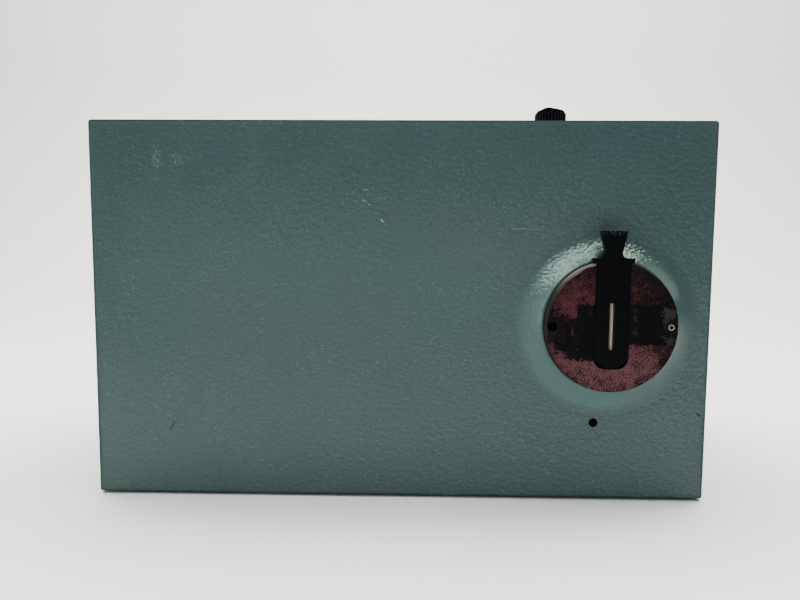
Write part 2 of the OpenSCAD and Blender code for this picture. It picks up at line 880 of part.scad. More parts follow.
module bearing_block(x, places) {
    color([0.68, 0.69, 0.7])
        translate([x - block_t / 2, 0, 0])
            rotate([90, 0, 90])
                linear_extrude(block_t)
                    difference() {
                        block_outline(places);
                        translate([drive_y, drive_z]) circle(r = shaft_r + 2 + thread_fit);
                        if (len(places) > 1)
                            translate([places[1][0], places[1][1]])
                                circle(r = places[1][2] + thread_fit);
                    }
}

module left_bearing_block() {
    bearing_block(left_block_x, [[drive_y, drive_z], [guide_y, drive_z, guide_r]]);
}

module middle_bearing_block() {
    bearing_block(middle_block_x, [[drive_y, drive_z], [guide_y, drive_z, guide_r]]);
}

module right_bearing_block() {
    bearing_block(right_block_x, [[drive_y, drive_z], [idler_y, idler_z, spindle_r]]);
}

module guide_rod() {
    color("silver")
        translate([0, guide_y, drive_z])
            x_rod(left_block_x - block_t / 2, middle_block_x + block_t / 2, guide_r);
}

module drive_nut() {
    color([0.72, 0.58, 0.3])
        difference() {
            union() {
                at_drive()
                    block([nut_x, -nut_w / 2, -nut_w / 2], [nut_x + nut_l, nut_w / 2, nut_w / 2]);
                translate([nut_x + 4, drive_y, drive_z - 5])
                    cube([nut_l - 8, guide_gap, 10]);
                translate([0, guide_y, drive_z]) x_rod(nut_x + 4, nut_x + nut_l - 4, 5.5);
            }
            at_drive() x_rod(nut_x - over, nut_x + nut_l + over, screw_r + run_fit);
            translate([0, guide_y, drive_z])
                x_rod(nut_x - over, nut_x + nut_l + over, guide_r + run_fit);
        }
}

module pusher_plate() {
    narrow = 5.2;
    color([0.6, 0.6, 0.62])
        difference() {
            union() {
                at_drive()
                    block([pusher_x, -nut_w / 2, -screw_r - 2.5],
                          [pusher_x + pusher_t, nut_w / 2, nut_w / 2]);
                block([pusher_x, -arm_l - narrow, ball_z - 5.5],
                      [pusher_x + pusher_t, -arm_l + narrow, drive_z - screw_r]);
            }
            at_drive() x_rod(pusher_x - over, pusher_x + pusher_t + over, screw_r + 0.5);
        }
}

// ---------------------------------------------------------------- grating

module sine_arm() {
    color([0.68, 0.69, 0.7])
        translate([grating_x, 0, ball_z])
            difference() {
                union() {
                    translate([0, 0, -arm_t / 2 - 2]) cylinder(h = arm_t + 4, r = arm_hub_r);
                    translate([0, 0, -arm_t / 2])
                        linear_extrude(arm_t)
                            polygon([
                                [-arm_w / 2, 0], [-arm_tip_w / 2, -arm_l + ball_r + 5],
                                [-arm_tip_w / 2, -arm_l + ball_r - 1.5],
                                [arm_tip_w / 2, -arm_l + ball_r - 1.5],
                                [arm_tip_w / 2, -arm_l + ball_r + 5], [arm_w / 2, 0],
                                [arm_tip_w / 2 + 1, arm_tail + 3],
                                [-arm_tip_w / 2 - 1, arm_tail + 3]
                            ]);
                    translate([0, arm_tail, arm_t / 2 - joint])
                        cylinder(h = 5 + joint, r = spring_pin_r);
                }
                translate([0, 0, -arm_t]) cylinder(h = 2 * arm_t, r = pivot_r + run_fit);
                translate([0, -arm_l, 0]) sphere(r = ball_r + joint);
            }
}

module arm_ball() {
    color("silver") translate([grating_x, -arm_l, ball_z]) sphere(r = ball_r);
}

module grating_shaft() {
    color("silver")
        translate([grating_x, 0, cell_high - ear_t + 0.5])
            cylinder(h = plate_top - cell_high + ear_t - 1, r = pivot_r);
}

module grating_pivot() {
    color("silver")
        translate([grating_x, 0, 0]) {
            translate([0, 0, bearing_z - bearing_t])
                cylinder(h = cell_low + ear_t - 0.5 - bearing_z + bearing_t, r = pivot_r);
            translate([0, 0, bearing_z + joint])
                cylinder(h = cell_low - bearing_z - 2 * joint, r = pivot_r + 2);
        }
}

module grating_cell() {
    back = grating_x + 0.8 - grating_t - cell_fit - cell_wall;
    side = grating_w / 2 + cell_fit;
    color([0.13, 0.13, 0.13])
        difference() {
            union() {
                block([back, -side - 3, cell_low], [back + cell_wall, side + 3, cell_high]);
                for (s = [-1, 1])
                    translate([0, s * (side + 1.5), 0])
                        block([back, -1.5, cell_low], [grating_x - 2, 1.5, cell_high]);
                for (z = [cell_low, cell_high - ear_t]) {
                    block([back, -side - 3, z], [grating_x - 2, side + 3, z + ear_t]);
                    block([back, -ear_r, z], [grating_x, ear_r, z + ear_t]);
                    translate([grating_x, 0, z]) cylinder(h = ear_t, r = ear_r);
                }
            }
            translate([grating_x, 0, cell_low - over])
                cylinder(h = ear_t - 0.5 + over, r = pivot_r + thread_fit);
            translate([grating_x, 0, cell_high - ear_t + 0.5])
                cylinder(h = ear_t + over, r = pivot_r + thread_fit);
        }
}

module grating() {
    color([0.75, 0.8, 0.9])
        difference() {
            block([grating_x + 0.8 - grating_t, -grating_w / 2, port_z - grating_w / 2],
                  [grating_x + 0.8, grating_w / 2, port_z + grating_w / 2]);
            translate([grating_x + grating_curve, 0, port_z])
                rotate([90, 0, 0])
                    cylinder(h = grating_w + 2 * over, r = grating_curve, center = true, $fn = 720);
        }
}

module bearing_ring(z) {
    color([0.8, 0.8, 0.82])
        translate([grating_x, 0, z])
            difference() {
                cylinder(h = bearing_t - 1, r = bearing_r);
                translate([0, 0, -over]) cylinder(h = bearing_t + over, r = pivot_r + run_fit);
            }
}

module upper_bearing() { bearing_ring(plate_low); }
module lower_bearing() { bearing_ring(bearing_z - bearing_t + 1); }

module pivot_post() {
    color([0.68, 0.69, 0.7])
        translate([grating_x, 0, 0])
            difference() {
                union() {
                    translate([0, 0, floor_z + joint])
                        cylinder(h = bearing_z - floor_z - joint, r = bearing_r + 4);
                    translate([0, 0, floor_z + joint]) cylinder(h = 6, r = bearing_r + 12);
                }
                translate([0, 0, bearing_z - bearing_t])
                    cylinder(h = bearing_t + over, r = bearing_r + thread_fit);
            }
}

// Ring point of a helix along X: turn k of n, wire point w of 6
function coil_point(t, w, lead) =
    let (a = t * 360, b = w * 60, r = spring_r + spring_wire / 2 * cos(b))
        [lead * t + spring_wire / 2 * sin(b), r * cos(a), r * sin(a)];

module coil(turns, lead) {
    steps = 12;
    rings = turns * steps;
    polyhedron(
        points = [for (i = [0 : rings], w = [0 : 5]) coil_point(i / steps, w, lead)],
        faces = concat(
            [[for (w = [5 : -1 : 0]) w]],
            [[for (w = [0 : 5]) rings * 6 + w]],
            [for (i = [0 : rings - 1], w = [0 : 5])
                [i * 6 + w, i * 6 + (w + 1) % 6, (i + 1) * 6 + (w + 1) % 6, (i + 1) * 6 + w]]
        )
    );
}

module spring_eye(x) {
    translate([x, 0, 0])
        rotate_extrude() translate([spring_pin_r + 0.5, 0]) circle(d = spring_wire, $fn = 24);
}

module return_spring() {
    eye = spring_pin_r + 0.5;
    body_l = spring_l - 2 * eye - 2;
    color("silver")
        translate([grating_x, arm_tail, ball_z + arm_t / 2 + spring_rise]) {
            spring_eye(0);
            spring_eye(-spring_l);
            translate([-eye - 1 - body_l, 0, 0]) coil(spring_turns, body_l / spring_turns);
        }
}

module spring_post() {
    z0 = ball_z + arm_t / 2 - 1;
    color("silver")
        translate([grating_x - spring_l, arm_tail, z0]) {
            cylinder(h = 5, r = spring_pin_r);
            translate([0, 0, 5 - joint]) cylinder(h = plate_low - z0 - 5, r = 2.5);
        }
}

// ---------------------------------------------------------------- mirrors and baffle

module mirror_stand() {
    color([0.13, 0.13, 0.13]) {
        translate([stand_apex, 0, floor_z + joint])
            linear_extrude(stand_top - floor_z - joint)
                difference() {
                    rotate(-45) square(mirror_w + stand_past);
                    translate([stand_t * sqrt(2), 0]) rotate(-45) square(mirror_w + 2 * stand_past);
                }
        difference() {
            block([stand_apex - 2, -stand_reach - 6, floor_z + joint],
                  [stand_apex + stand_reach + 3.5, stand_reach + 6, floor_z + stand_foot_t]);
            for (p = stand_screw_places())
                translate([p[0], p[1], floor_z - over])
                    cylinder(h = stand_foot_t + 2 * over, r = m3[0] + 0.25);
        }
    }
}

// Mirror plate with its face towards +X and the middle of that face at the origin
module mirror_plate() {
    color([0.8, 0.83, 0.86])
        translate([-mirror_t, -mirror_w / 2, -mirror_h / 2]) cube([mirror_t, mirror_w, mirror_h]);
}

module entrance_mirror() {
    translate([port_x, -mirror_offset, port_z]) rotate([0, 0, 225]) mirror_plate();
}

module exit_mirror() {
    translate([port_x, mirror_offset, port_z]) rotate([0, 0, 135]) mirror_plate();
}

module stand_screws() {
    color("silver") {
        for (p = stand_screw_places())
            translate([p[0], p[1], floor_z + stand_foot_t + joint])
                cap_screw(m3, stand_foot_t + 3, 1.2);
        for (p = baffle_screw_places())
            translate([p[0], p[1], floor_z + baffle_t + joint])
                cap_screw(m3, baffle_t + 3, 1.2);
    }
}

module baffle() {
    half = cave_y - 8;
    rim = 11;
    bar = 6;
    color([0.1, 0.1, 0.1])
        difference() {
            union() {
                block([baffle_x, -half, floor_z + joint],
                      [baffle_x + baffle_t, half, port_z + baffle_hole_h / 2 + rim]);
                block([baffle_x, -half, floor_z + joint],
                      [baffle_x + baffle_foot, half, floor_z + baffle_t]);
            }
            for (s = [-1, 1])
                translate([baffle_x + baffle_t / 2, s * (baffle_hole_w + bar) / 2, port_z])
                    cube([baffle_t + 2 * over, baffle_hole_w, baffle_hole_h], center = true);
            for (p = baffle_screw_places())
                translate([p[0], p[1], floor_z - over])
                    cylinder(h = baffle_t + 2 * over, r = m3[0] + 0.25);
        }
}

// ---------------------------------------------------------------- counter

// Number drum on the lead screw's axis, with a raised rim at each side
module drum(x) {
    rim = 0.5;
    difference() {
        union() {
            x_rod(x, x + drum_w, drum_d / 2 - rim);
            x_rod(x, x + 1, drum_d / 2);
            x_rod(x + drum_w - 1, x + drum_w, drum_d / 2);
        }
        x_rod(x - over, x + drum_w + over, shaft_r + run_fit);
    }
}

module fine_drum() { color("white") at_drive() drum(fine_x); }

module coarse_drum() {
    color("white")
        at_drive() {
            drum(coarse_x);
            difference() {
                translate([drum_gear_x - joint, 0, 0])
                    rotate([-45, 0, 0]) spur_gear(drum_teeth, counter_m, counter_gear_t + joint);
                x_rod(coarse_x, drum_gear_x + counter_gear_t + over, shaft_r + run_fit);
            }
        }
}

// Turned by half a tooth towards the idler, which lies 45 degrees below the lead screw
module counter_pinion() {
    color([0.72, 0.58, 0.3])
        at_drive()
            difference() {
                translate([pinion_x, 0, 0])
                    rotate([-45, 0, 0]) spur_gear(pinion_teeth, counter_m, counter_gear_t);
                x_rod(pinion_x - over, pinion_x + counter_gear_t + over, shaft_r + run_fit);
            }
}

module counter_idler() {
    color([0.72, 0.58, 0.3])
        translate([0, idler_y, idler_z])
            difference() {
                union() {
                    translate([pinion_x, 0, 0])
                        rotate([135 + 180 / idler_big_teeth, 0, 0])
                            spur_gear(idler_big_teeth, counter_m, counter_gear_t);
                    translate([drum_gear_x, 0, 0])
                        rotate([135 + 180 / idler_small_teeth, 0, 0])
                            spur_gear(idler_small_teeth, counter_m, pinion_x - drum_gear_x + joint);
                }
                x_rod(drum_gear_x - over, pinion_x + counter_gear_t + over, spindle_r + run_fit);
            }
}

module idler_spindle() {
    color("silver")
        translate([0, idler_y, idler_z]) {
            x_rod(drum_gear_x - 1, right_block_x + block_t / 2, spindle_r);
            x_rod(drum_gear_x - 1.5, drum_gear_x - 0.5, spindle_r + 1.2);
        }
}

module counter_window() {
    x = window_len / 2 + window_ledge - 0.1;
    y = window_wide / 2 + window_ledge - 0.1;
    color([0.85, 0.9, 0.9, 0.4])
        translate([window_x, drive_y, top_z - glass_t - joint])
            block([-x, -y, 0], [x, y, glass_t]);
}

housing();
base_plate();
feet();
base_screws();
front_slit_mount();
rear_slit_mount();
slit_mount_screws();
index_pins();
front_slit_slide();
front_slit_blades();
rear_slit_slide();
rear_slit_blades();
knob();
knob_set_screw();
knob_shaft();
knob_bush();
knob_gear();
screw_gear();
lead_screw();
screw_bushes();
drive_plate();
drive_plate_screws();
right_bearing_block();
middle_bearing_block();
left_bearing_block();
guide_rod();
drive_nut();
pusher_plate();
sine_arm();
arm_ball();
grating_shaft();
grating_pivot();
grating_cell();
grating();
upper_bearing();
lower_bearing();
pivot_post();
return_spring();
spring_post();
mirror_stand();
entrance_mirror();
exit_mirror();
stand_screws();
baffle();
fine_drum();
coarse_drum();
counter_pinion();
counter_idler();
idler_spindle();
counter_window();
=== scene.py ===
"""Finishes and small parts of a compact grating monochromator, built around its packed CAD frame.

Lengths are metres in the frame's own axes: +X to the right, -Y out of the front face, +Z up, and
the origin in the middle of the base. Patterns in the materials are laid out in millimetres.
"""

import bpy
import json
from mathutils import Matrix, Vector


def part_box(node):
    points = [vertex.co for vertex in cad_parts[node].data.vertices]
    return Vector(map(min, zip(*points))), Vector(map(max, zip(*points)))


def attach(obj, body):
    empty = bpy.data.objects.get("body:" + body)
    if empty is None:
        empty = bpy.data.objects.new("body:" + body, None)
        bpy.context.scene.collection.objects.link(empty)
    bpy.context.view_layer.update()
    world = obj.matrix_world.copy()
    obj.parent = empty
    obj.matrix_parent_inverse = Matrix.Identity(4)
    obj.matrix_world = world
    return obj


bl_info = {
    "name": "Grating Monochromator",
    "version": (1, 0, 0),
    "blender": (4, 5, 0),
    "location": "View3D > Sidebar > Monochromator",
    "description": "Finishes, number drums and stage of a compact grating monochromator",
    "category": "Object",
}

import json
import math
from contextlib import contextmanager

import bpy
from bpy.props import FloatProperty, FloatVectorProperty, IntProperty, PointerProperty
from mathutils import Matrix, Vector

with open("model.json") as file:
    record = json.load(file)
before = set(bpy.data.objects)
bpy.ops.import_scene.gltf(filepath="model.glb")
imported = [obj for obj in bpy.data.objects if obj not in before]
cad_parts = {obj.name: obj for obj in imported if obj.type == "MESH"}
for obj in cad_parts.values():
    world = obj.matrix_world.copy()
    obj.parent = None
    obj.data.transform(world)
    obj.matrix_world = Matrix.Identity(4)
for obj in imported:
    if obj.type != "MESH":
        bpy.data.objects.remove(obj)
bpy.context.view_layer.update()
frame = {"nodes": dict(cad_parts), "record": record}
NODES = frame["nodes"]
MM = 0.001

# Places that the frame gives, in metres
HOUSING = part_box("housing")
FRONT_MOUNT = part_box("front_slit_mount")
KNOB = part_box("knob")
FINE_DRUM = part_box("fine_drum")
COARSE_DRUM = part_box("coarse_drum")
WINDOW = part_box("counter_window")


def middle(box):
    return (box[0] + box[1]) / 2


PORT = middle(FRONT_MOUNT)
# The front face, which the mount's back lies against
FACE_Y = FRONT_MOUNT[1].y
KNOB_AXIS = middle(KNOB)
DRUM_AXIS = middle(FINE_DRUM)
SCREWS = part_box("slit_mount_screws")
SCREW_HEAD = 1.9 * MM
# From a port's axis to the axis of a screw beside it
SCREW_OUT = SCREWS[1].x - SCREW_HEAD - PORT.x


# ---------------------------------------------------------------- settings


def colour_setting(name, description, default):
    return FloatVectorProperty(
        name=name, description=description, subtype="COLOR", size=3, min=0, max=1, default=default
    )


def length_setting(name, description, default):
    return FloatProperty(
        name=name, description=description, subtype="DISTANCE", unit="LENGTH", default=default,
        precision=5,
    )


class BoxPaintSettings(bpy.types.PropertyGroup):
    """Paint of the cast box."""

    colour: colour_setting("Colour", "Main colour of the enamel", (0.0510, 0.0862, 0.0905))
    greener: colour_setting("Greener", "Colour of the greener clouds", (0.0480, 0.0866, 0.0866))
    glint: colour_setting("Glint", "Colour of the crests in the peel", (0.180, 0.260, 0.250))
    # Painted light: the flanks low on the left of the flares are drawn paler where they catch light
    painted_flank_light: colour_setting(
        "Flank", "Colour low on the flares' left flanks", (0.0650, 0.1230, 0.1250)
    )
    # Grime and shade: nicks and dark marks, and also the painted shade in the gap round the mounts,
    # in holes, in pits and on the lumps' lower sides
    grime_and_shade: colour_setting("Grime", "Colour of nicks and dark marks", (0.010, 0.014, 0.014))
    scuff: colour_setting("Scuff", "Colour of the light rub marks", (0.420, 0.450, 0.400))
    lump: FloatProperty(
        name="Lump", description="Size of the peel's lumps, in millimetres", default=1.5, min=0.2
    )
    depth: FloatProperty(
        name="Depth", description="Relief of the peel, in millimetres", default=0.32, min=0
    )


class PortSettings(bpy.types.PropertyGroup):
    """Slit mounts, slides and blades."""

    maroon: colour_setting("Maroon", "Anodised face of a slit mount", (0.050, 0.008, 0.014))
    pink: colour_setting("Pink", "Faded grains in the maroon", (0.200, 0.098, 0.108))
    worn: colour_setting("Worn black", "Dark band across the mount", (0.0008, 0.0007, 0.0014))
    grey: colour_setting("Grey", "Grey patches on the dark band", (0.024, 0.0225, 0.0215))
    rim: colour_setting("Rim", "Bare metal of the mount's wall", (0.165, 0.148, 0.148))
    slide: colour_setting("Slide", "Black of the slit slides", (0.0012, 0.0014, 0.0024))
    blade: colour_setting("Blade", "Pale steel of the slit blades", (0.420, 0.345, 0.220))


class DriveSettings(bpy.types.PropertyGroup):
    """Knob, screws and the pieces inside."""

    knob: colour_setting("Knob", "Black plastic of the knob", (0.0016, 0.0017, 0.0019))
    # The grey on the knob's rib crests stands for handling wear and for painted sheen
    handled: colour_setting("Handled", "Knob's ribs, greyed by handling", (0.0260, 0.0290, 0.0320))
    brass: colour_setting("Brass", "Gears, nut and bushes", (0.560, 0.390, 0.140))
    steel: colour_setting("Steel", "Shafts and screws", (0.460, 0.450, 0.430))
    aluminium: colour_setting("Aluminium", "Plate, blocks and arm", (0.560, 0.570, 0.580))
    inner_black: colour_setting("Inner black", "Cell, stand and baffle", (0.014, 0.014, 0.015))
    drum: colour_setting("Drum", "Off-white of the number drums", (0.600, 0.580, 0.500))
    ink: colour_setting("Ink", "Black of the numbers", (0.010, 0.010, 0.010))


class CounterSettings(bpy.types.PropertyGroup):
    """Numbers on the two drums."""

    digits: IntProperty(name="Digits", description="Numbers round each drum", default=10, min=4)
    divisions: IntProperty(
        name="Divisions", description="Lines round the fine drum", default=50, min=10
    )
    fine_start: IntProperty(
        name="Fine start", description="Number that the fine drum shows", default=0
    )
    coarse_start: IntProperty(
        name="Coarse start", description="Number that the coarse drum shows", default=5
    )
    height: length_setting("Height", "Height of a number", 0.0062)
    ink_depth: length_setting("Ink depth", "How far the ink stands proud", 0.00006)
    line: colour_setting("Line", "Red of the reading line", (0.420, 0.020, 0.015))


class StageSettings(bpy.types.PropertyGroup):
    """Camera, lights, floor and backdrop."""

    side: length_setting("Side", "Camera to the right of the middle", 0.0059)
    back: length_setting("Back", "Camera in front of the face", 0.28815)
    height: length_setting("Height", "Camera above the surface", 0.11689)
    pitch: FloatProperty(name="Pitch", description="Degrees below the horizon", default=4.939)
    yaw: FloatProperty(name="Yaw", description="Degrees turned to the left", default=1.127)
    roll: FloatProperty(name="Roll", description="Degrees rolled clockwise", default=0.358)
    lens: FloatProperty(name="Lens", description="Focal length in millimetres", default=28.78)
    floor: colour_setting("Floor", "Colour of the floor and backdrop", (0.73, 0.725, 0.71))
    shade: FloatProperty(
        name="Shade", description="Share of the floor's colour behind the camera", default=0.35
    )


GROUPS = {
    "mono_paint": BoxPaintSettings,
    "mono_port": PortSettings,
    "mono_drive": DriveSettings,
    "mono_counter": CounterSettings,
    "mono_stage": StageSettings,
}


# ---------------------------------------------------------------- node helpers


# Share of a seed that moves a noise along X, Y and Z
SEED_SHIFT = (1.0, 0.7, 1.3)
# Which of a Mix node's sockets take the factor and the two colours, and which gives the result
COLOUR_MIX = (0, 6, 7)
COLOUR_RESULT = 2


class Sheet:
    """Puts nodes into one material or node group and links them."""

    def __init__(self, tree):
        self.tree = tree

    def feed(self, socket, value):
        if isinstance(value, bpy.types.NodeSocket):
            self.tree.links.new(value, socket)
        elif isinstance(socket.default_value, float):
            socket.default_value = value
        else:
            socket.default_value = tuple(value) + (1.0,) * (len(socket.default_value) - len(value))

    def put(self, kind, inputs=None, **settings):
        node = self.tree.nodes.new("ShaderNode" + kind)
        for key, value in settings.items():
            setattr(node, key, value)
        for key, value in (inputs or {}).items():
            self.feed(node.inputs[key], value)
        return node

    def calc(self, operation, *values, clamp=False):
        node = self.put("Math", dict(enumerate(values)), operation=operation, use_clamp=clamp)
        return node.outputs[0]

    def times(self, a, b, clamp=False):
        return self.calc("MULTIPLY", a, b, clamp=clamp)

    def plus(self, a, b):
        return self.calc("ADD", a, b)

    def minus(self, a, b):
        return self.calc("SUBTRACT", a, b)

    def away(self, value):
        """Distance from nought, on either side."""
        return self.calc("ABSOLUTE", value)

    def move(self, operation, *values):
        return self.put("VectorMath", dict(enumerate(values)), operation=operation).outputs[0]

    def scaled(self, vector, factor):
        return self.put("VectorMath", {0: vector, "Scale": factor}, operation="SCALE").outputs[0]

    def step(self, value, low, high, to_low=0.0, to_high=1.0):
        """Smooth step of value from low to high."""
        ends = {"From Min": low, "From Max": high, "To Min": to_low, "To Max": to_high}
        return self.put(
            "MapRange", {"Value": value, **ends}, interpolation_type="SMOOTHSTEP"
        ).outputs[0]

    def noise(self, vector, size, detail=2.0, roughness=0.5, seed=0.0, squash=None, cells=1.0):
        """Noise with about cells features to every size millimetres. A seed moves it elsewhere."""
        if seed:
            vector = self.move("ADD", vector, tuple(seed * part for part in SEED_SHIFT))
        if squash:
            vector = self.move("MULTIPLY", vector, squash)
        scale = cells / size if isinstance(size, float) else self.calc("DIVIDE", cells, size)
        inputs = {"Vector": vector, "Scale": scale, "Detail": detail, "Roughness": roughness}
        return self.put("TexNoise", inputs).outputs[0]

    def mix(self, factor, a, b):
        """Colour that goes from a to b as factor goes from 0 to 1."""
        node = self.put("Mix", data_type="RGBA")
        for key, value in zip(COLOUR_MIX, (factor, a, b)):
            self.feed(node.inputs[key], value)
        return node.outputs[COLOUR_RESULT]

    def millimetres(self, centre=(0.0, 0.0, 0.0)):
        """Place on the object in millimetres from a point given in metres."""
        place = self.put("TexCoord").outputs["Object"]
        return self.scaled(self.move("SUBTRACT", place, tuple(centre)), 1 / MM)

    def axes(self, vector):
        return self.put("SeparateXYZ", {0: vector}).outputs

    def reach(self, a, b):
        """Length of a flat vector."""
        return self.calc("SQRT", self.plus(self.times(a, a), self.times(b, b)))

    def shared(self, maker, inputs):
        """Places a shared effect and gives back its outputs."""
        node = self.put("Group", node_tree=effect(maker))
        for key, value in inputs.items():
            self.feed(node.inputs[key], value)
        return node.outputs

    def clouds(self, vector, size, low, high):
        """Mask of soft patches that are about size millimetres across."""
        inputs = {"Vector": vector, "Size": size, "Low": low, "High": high}
        return self.shared(cloud, inputs)["Mask"]

    def mark(self, vector, spot, half, ragged, grain, soft):
        """Mask of a ragged patch at spot, which reaches half to each side of it."""
        inputs = {"Vector": vector, "Centre": (spot[0], 0.0, spot[1]),
                  "Half": (half[0], 0.0, half[1]), "Ragged": ragged, "Grain": grain, "Soft": soft}
        return self.shared(patch, inputs)["Mask"]


class Coat(Sheet):
    """Sheet of a new material, with the inputs of its Principled shader."""

    def __init__(self, name, roughness, metallic=0.0, specular=0.5):
        self.material = bpy.data.materials.new(name)
        self.material.use_nodes = True
        super().__init__(self.material.node_tree)
        self.surface = self.tree.nodes["Principled BSDF"].inputs
        self.lay("Roughness", roughness)
        self.lay("Metallic", metallic)
        self.lay("Specular IOR Level", specular)

    def lay(self, name, value):
        """Feeds one input of the shader."""
        self.feed(self.surface[name], value)

    def relief(self, height, strength, distance_mm):
        """Lays a relief over the surface's own normal."""
        inputs = {"Height": height, "Strength": strength, "Distance": distance_mm * MM}
        self.lay("Normal", self.put("Bump", inputs).outputs[0])


def effect(maker):
    """Node group of a shared effect, built the first time that it is asked for."""
    group = bpy.data.node_groups.get(maker.__name__)
    if group is None:
        group = bpy.data.node_groups.new(maker.__name__, "ShaderNodeTree")
        maker(group)
    return group


def group_sockets(group, outputs, **inputs):
    """Adds named sockets to a group and gives back its sheet, its inputs and its output node.

    Every group has a Vector, which is a place in millimetres."""
    for name, default in {"Vector": (0.0, 0.0, 0.0), **inputs}.items():
        kind = "NodeSocketFloat" if isinstance(default, float) else "NodeSocketVector"
        socket = group.interface.new_socket(name=name, in_out="INPUT", socket_type=kind)
        socket.default_value = default
    for name in outputs:
        group.interface.new_socket(name=name, in_out="OUTPUT", socket_type="NodeSocketFloat")
    given = group.nodes.new("NodeGroupInput").outputs
    return Sheet(group), given, group.nodes.new("NodeGroupOutput").inputs


def peel(group):
    """Orange peel. Height of a sprayed enamel's lumps, with masks of scattered crests and pits."""
    s, given, out = group_sockets(group, ["Height", "Crest", "Pit"], Lump=2.4)
    vector, lump = given["Vector"], given["Lump"]
    wide = s.noise(vector, lump, detail=1.0, roughness=0.4)
    elsewhere = s.move("ADD", vector, (31.0, 7.0, 13.0))
    fine = s.noise(elsewhere, lump, detail=1.0, cells=2.6)
    s.feed(out["Height"], s.plus(wide, s.times(fine, 0.30)))
    crest = s.noise(vector, lump, roughness=0.6, squash=(0.75, 1.0, 1.0), cells=2.0)
    s.feed(out["Crest"], s.step(crest, 0.58, 0.72))
    s.feed(out["Pit"], s.step(crest, 0.42, 0.28))


def painted_lump_shading(group):
    """Emboss. Painted light and shade: lit upper and shaded lower sides of flat lumps that are Lump
    across.
    """
    s, given, out = group_sockets(group, ["LitSide", "ShadedSide"], Lump=2.0)
    heights = []
    for rise in (0.0, 0.28):
        place = s.move("ADD", given["Vector"], (rise * 0.4, 0.0, rise))
        heights.append(s.noise(place, given["Lump"], detail=1.5, squash=(0.66, 1.0, 1.0)))
    fall = s.minus(*heights)
    s.feed(out["LitSide"], s.step(fall, 0.02, 0.10))
    s.feed(out["ShadedSide"], s.step(fall, -0.02, -0.10))


def cloud(group):
    """Cloud. Soft patches between 0 and 1 for uneven colour or gloss."""
    s, given, out = group_sockets(group, ["Mask"], Size=10.0, Low=0.4, High=0.6)
    value = s.noise(given["Vector"], given["Size"], detail=4.0)
    s.feed(out["Mask"], s.step(value, given["Low"], given["High"]))


def patch(group):
    """Ragged patch. A four-sided mark with torn edges, seen along Y."""
    s, given, out = group_sockets(
        group, ["Mask"],
        Centre=(0.0, 0.0, 0.0), Half=(1.0, 0.0, 1.0), Ragged=1.0, Grain=1.0, Soft=0.3,
    )
    vector, soft = given["Vector"], given["Soft"]
    scale = s.calc("DIVIDE", 1.0, given["Grain"])
    torn = s.put("TexNoise", {"Vector": vector, "Scale": scale, "Detail": 3.0}).outputs["Color"]
    torn = s.scaled(s.move("SUBTRACT", torn, (0.5, 0.5, 0.5)), given["Ragged"])
    place = s.move("ADD", s.move("SUBTRACT", vector, given["Centre"]), torn)
    past = s.axes(s.move("SUBTRACT", s.move("ABSOLUTE", place), given["Half"]))
    worst = s.calc("MAXIMUM", past["X"], past["Z"])
    s.feed(out["Mask"], s.step(worst, soft, s.times(soft, -1.0)))


def scratches(group):
    """Scratches. Fine marks drawn out along the vector's X."""
    s, given, out = group_sockets(group, ["Mask"], Width=0.3, Share=0.3)
    lines = s.noise(given["Vector"], given["Width"], squash=(0.05, 1.0, 1.0))
    low = s.minus(0.78, s.times(given["Share"], 0.3))
    s.feed(out["Mask"], s.step(lines, low, s.plus(low, 0.05)))


def wear(material, *names):
    """Gives CAD nodes their material."""
    for name in names:
        for place in NODES[name].material_slots:
            place.material = material


# ---------------------------------------------------------------- materials

# Marks on the front face: kind, place from the box's lower left corner, half size, turn in degrees,
# ragged, soft edge and share
FACE_MARKS = [
    ("scuff", (30.8, 153.8), (1.5, 3.0), 0, 6.0, 1.2, 0.60),
    ("scuff", (40.0, 153.2), (2.2, 2.4), 0, 6.0, 1.2, 0.26),
    ("scuff", (38.6, 155.2), (0.24, 0.2), 0, 0.3, 0.2, 0.50),
    ("scuff", (30.4, 153.0), (0.9, 9.0), 0, 3.0, 1.2, 0.10),
    ("scuff", (131.0, 137.0), (3.0, 1.2), 0, 3.0, 1.0, 0.16),
    ("scuff", (124.6, 140.4), (0.9, 0.20), 0, 0.6, 0.2, 0.35),
    ("scuff", (124.0, 135.6), (0.7, 0.25), -30, 0.8, 0.2, 0.35),
    ("scuff", (126.2, 134.0), (0.4, 0.25), -30, 0.5, 0.2, 0.35),
    ("scuff", (132.0, 126.8), (0.75, 0.22), -45, 0.3, 0.2, 0.95),
    ("scuff", (196.5, 123.5), (7.0, 0.16), -2, 1.2, 0.2, 0.14),
    ("grime_and_shade", (276.4, 39.9), (1.0, 0.36), -32, 0.5, 0.15, 1.0),
    ("grime_and_shade", (35.0, 31.6), (0.22, 2.0), -24, 0.8, 0.25, 0.90),
    ("grime_and_shade", (36.3, 33.6), (0.7, 0.14), 20, 0.6, 0.2, 0.70),
    ("grime_and_shade", (262.0, 24.0), (0.4, 0.25), 30, 0.4, 0.2, 0.55),
]
# Scuffs up to this half size are solid, and larger ones are broken up by grain
SOLID_SCUFF = 0.5

# Where the masks on the box start and end, in millimetres. From a port's axis: the painted shadow
# of the gap round the slit mount, the flare as it runs out into the face, and the flanks that get
# painted light
GAP_SHADOW = (29.4, 29.1)
RUN_OUT = (34.0, 44.0)
FLANK_LIGHT_RADII = (41.0, 36.5)
# From the middle of the box: near its faces, and the flares' lips, which stand out from them
NEAR_FACE = (68.0, 69.0)
LIPS = (70.5, 71.0)
# From the edges of a face: the dark line, and the band that hands have dulled
EDGE_LINE = (1.0, 0.5)
EDGE_BAND = (2.4, 1.3)


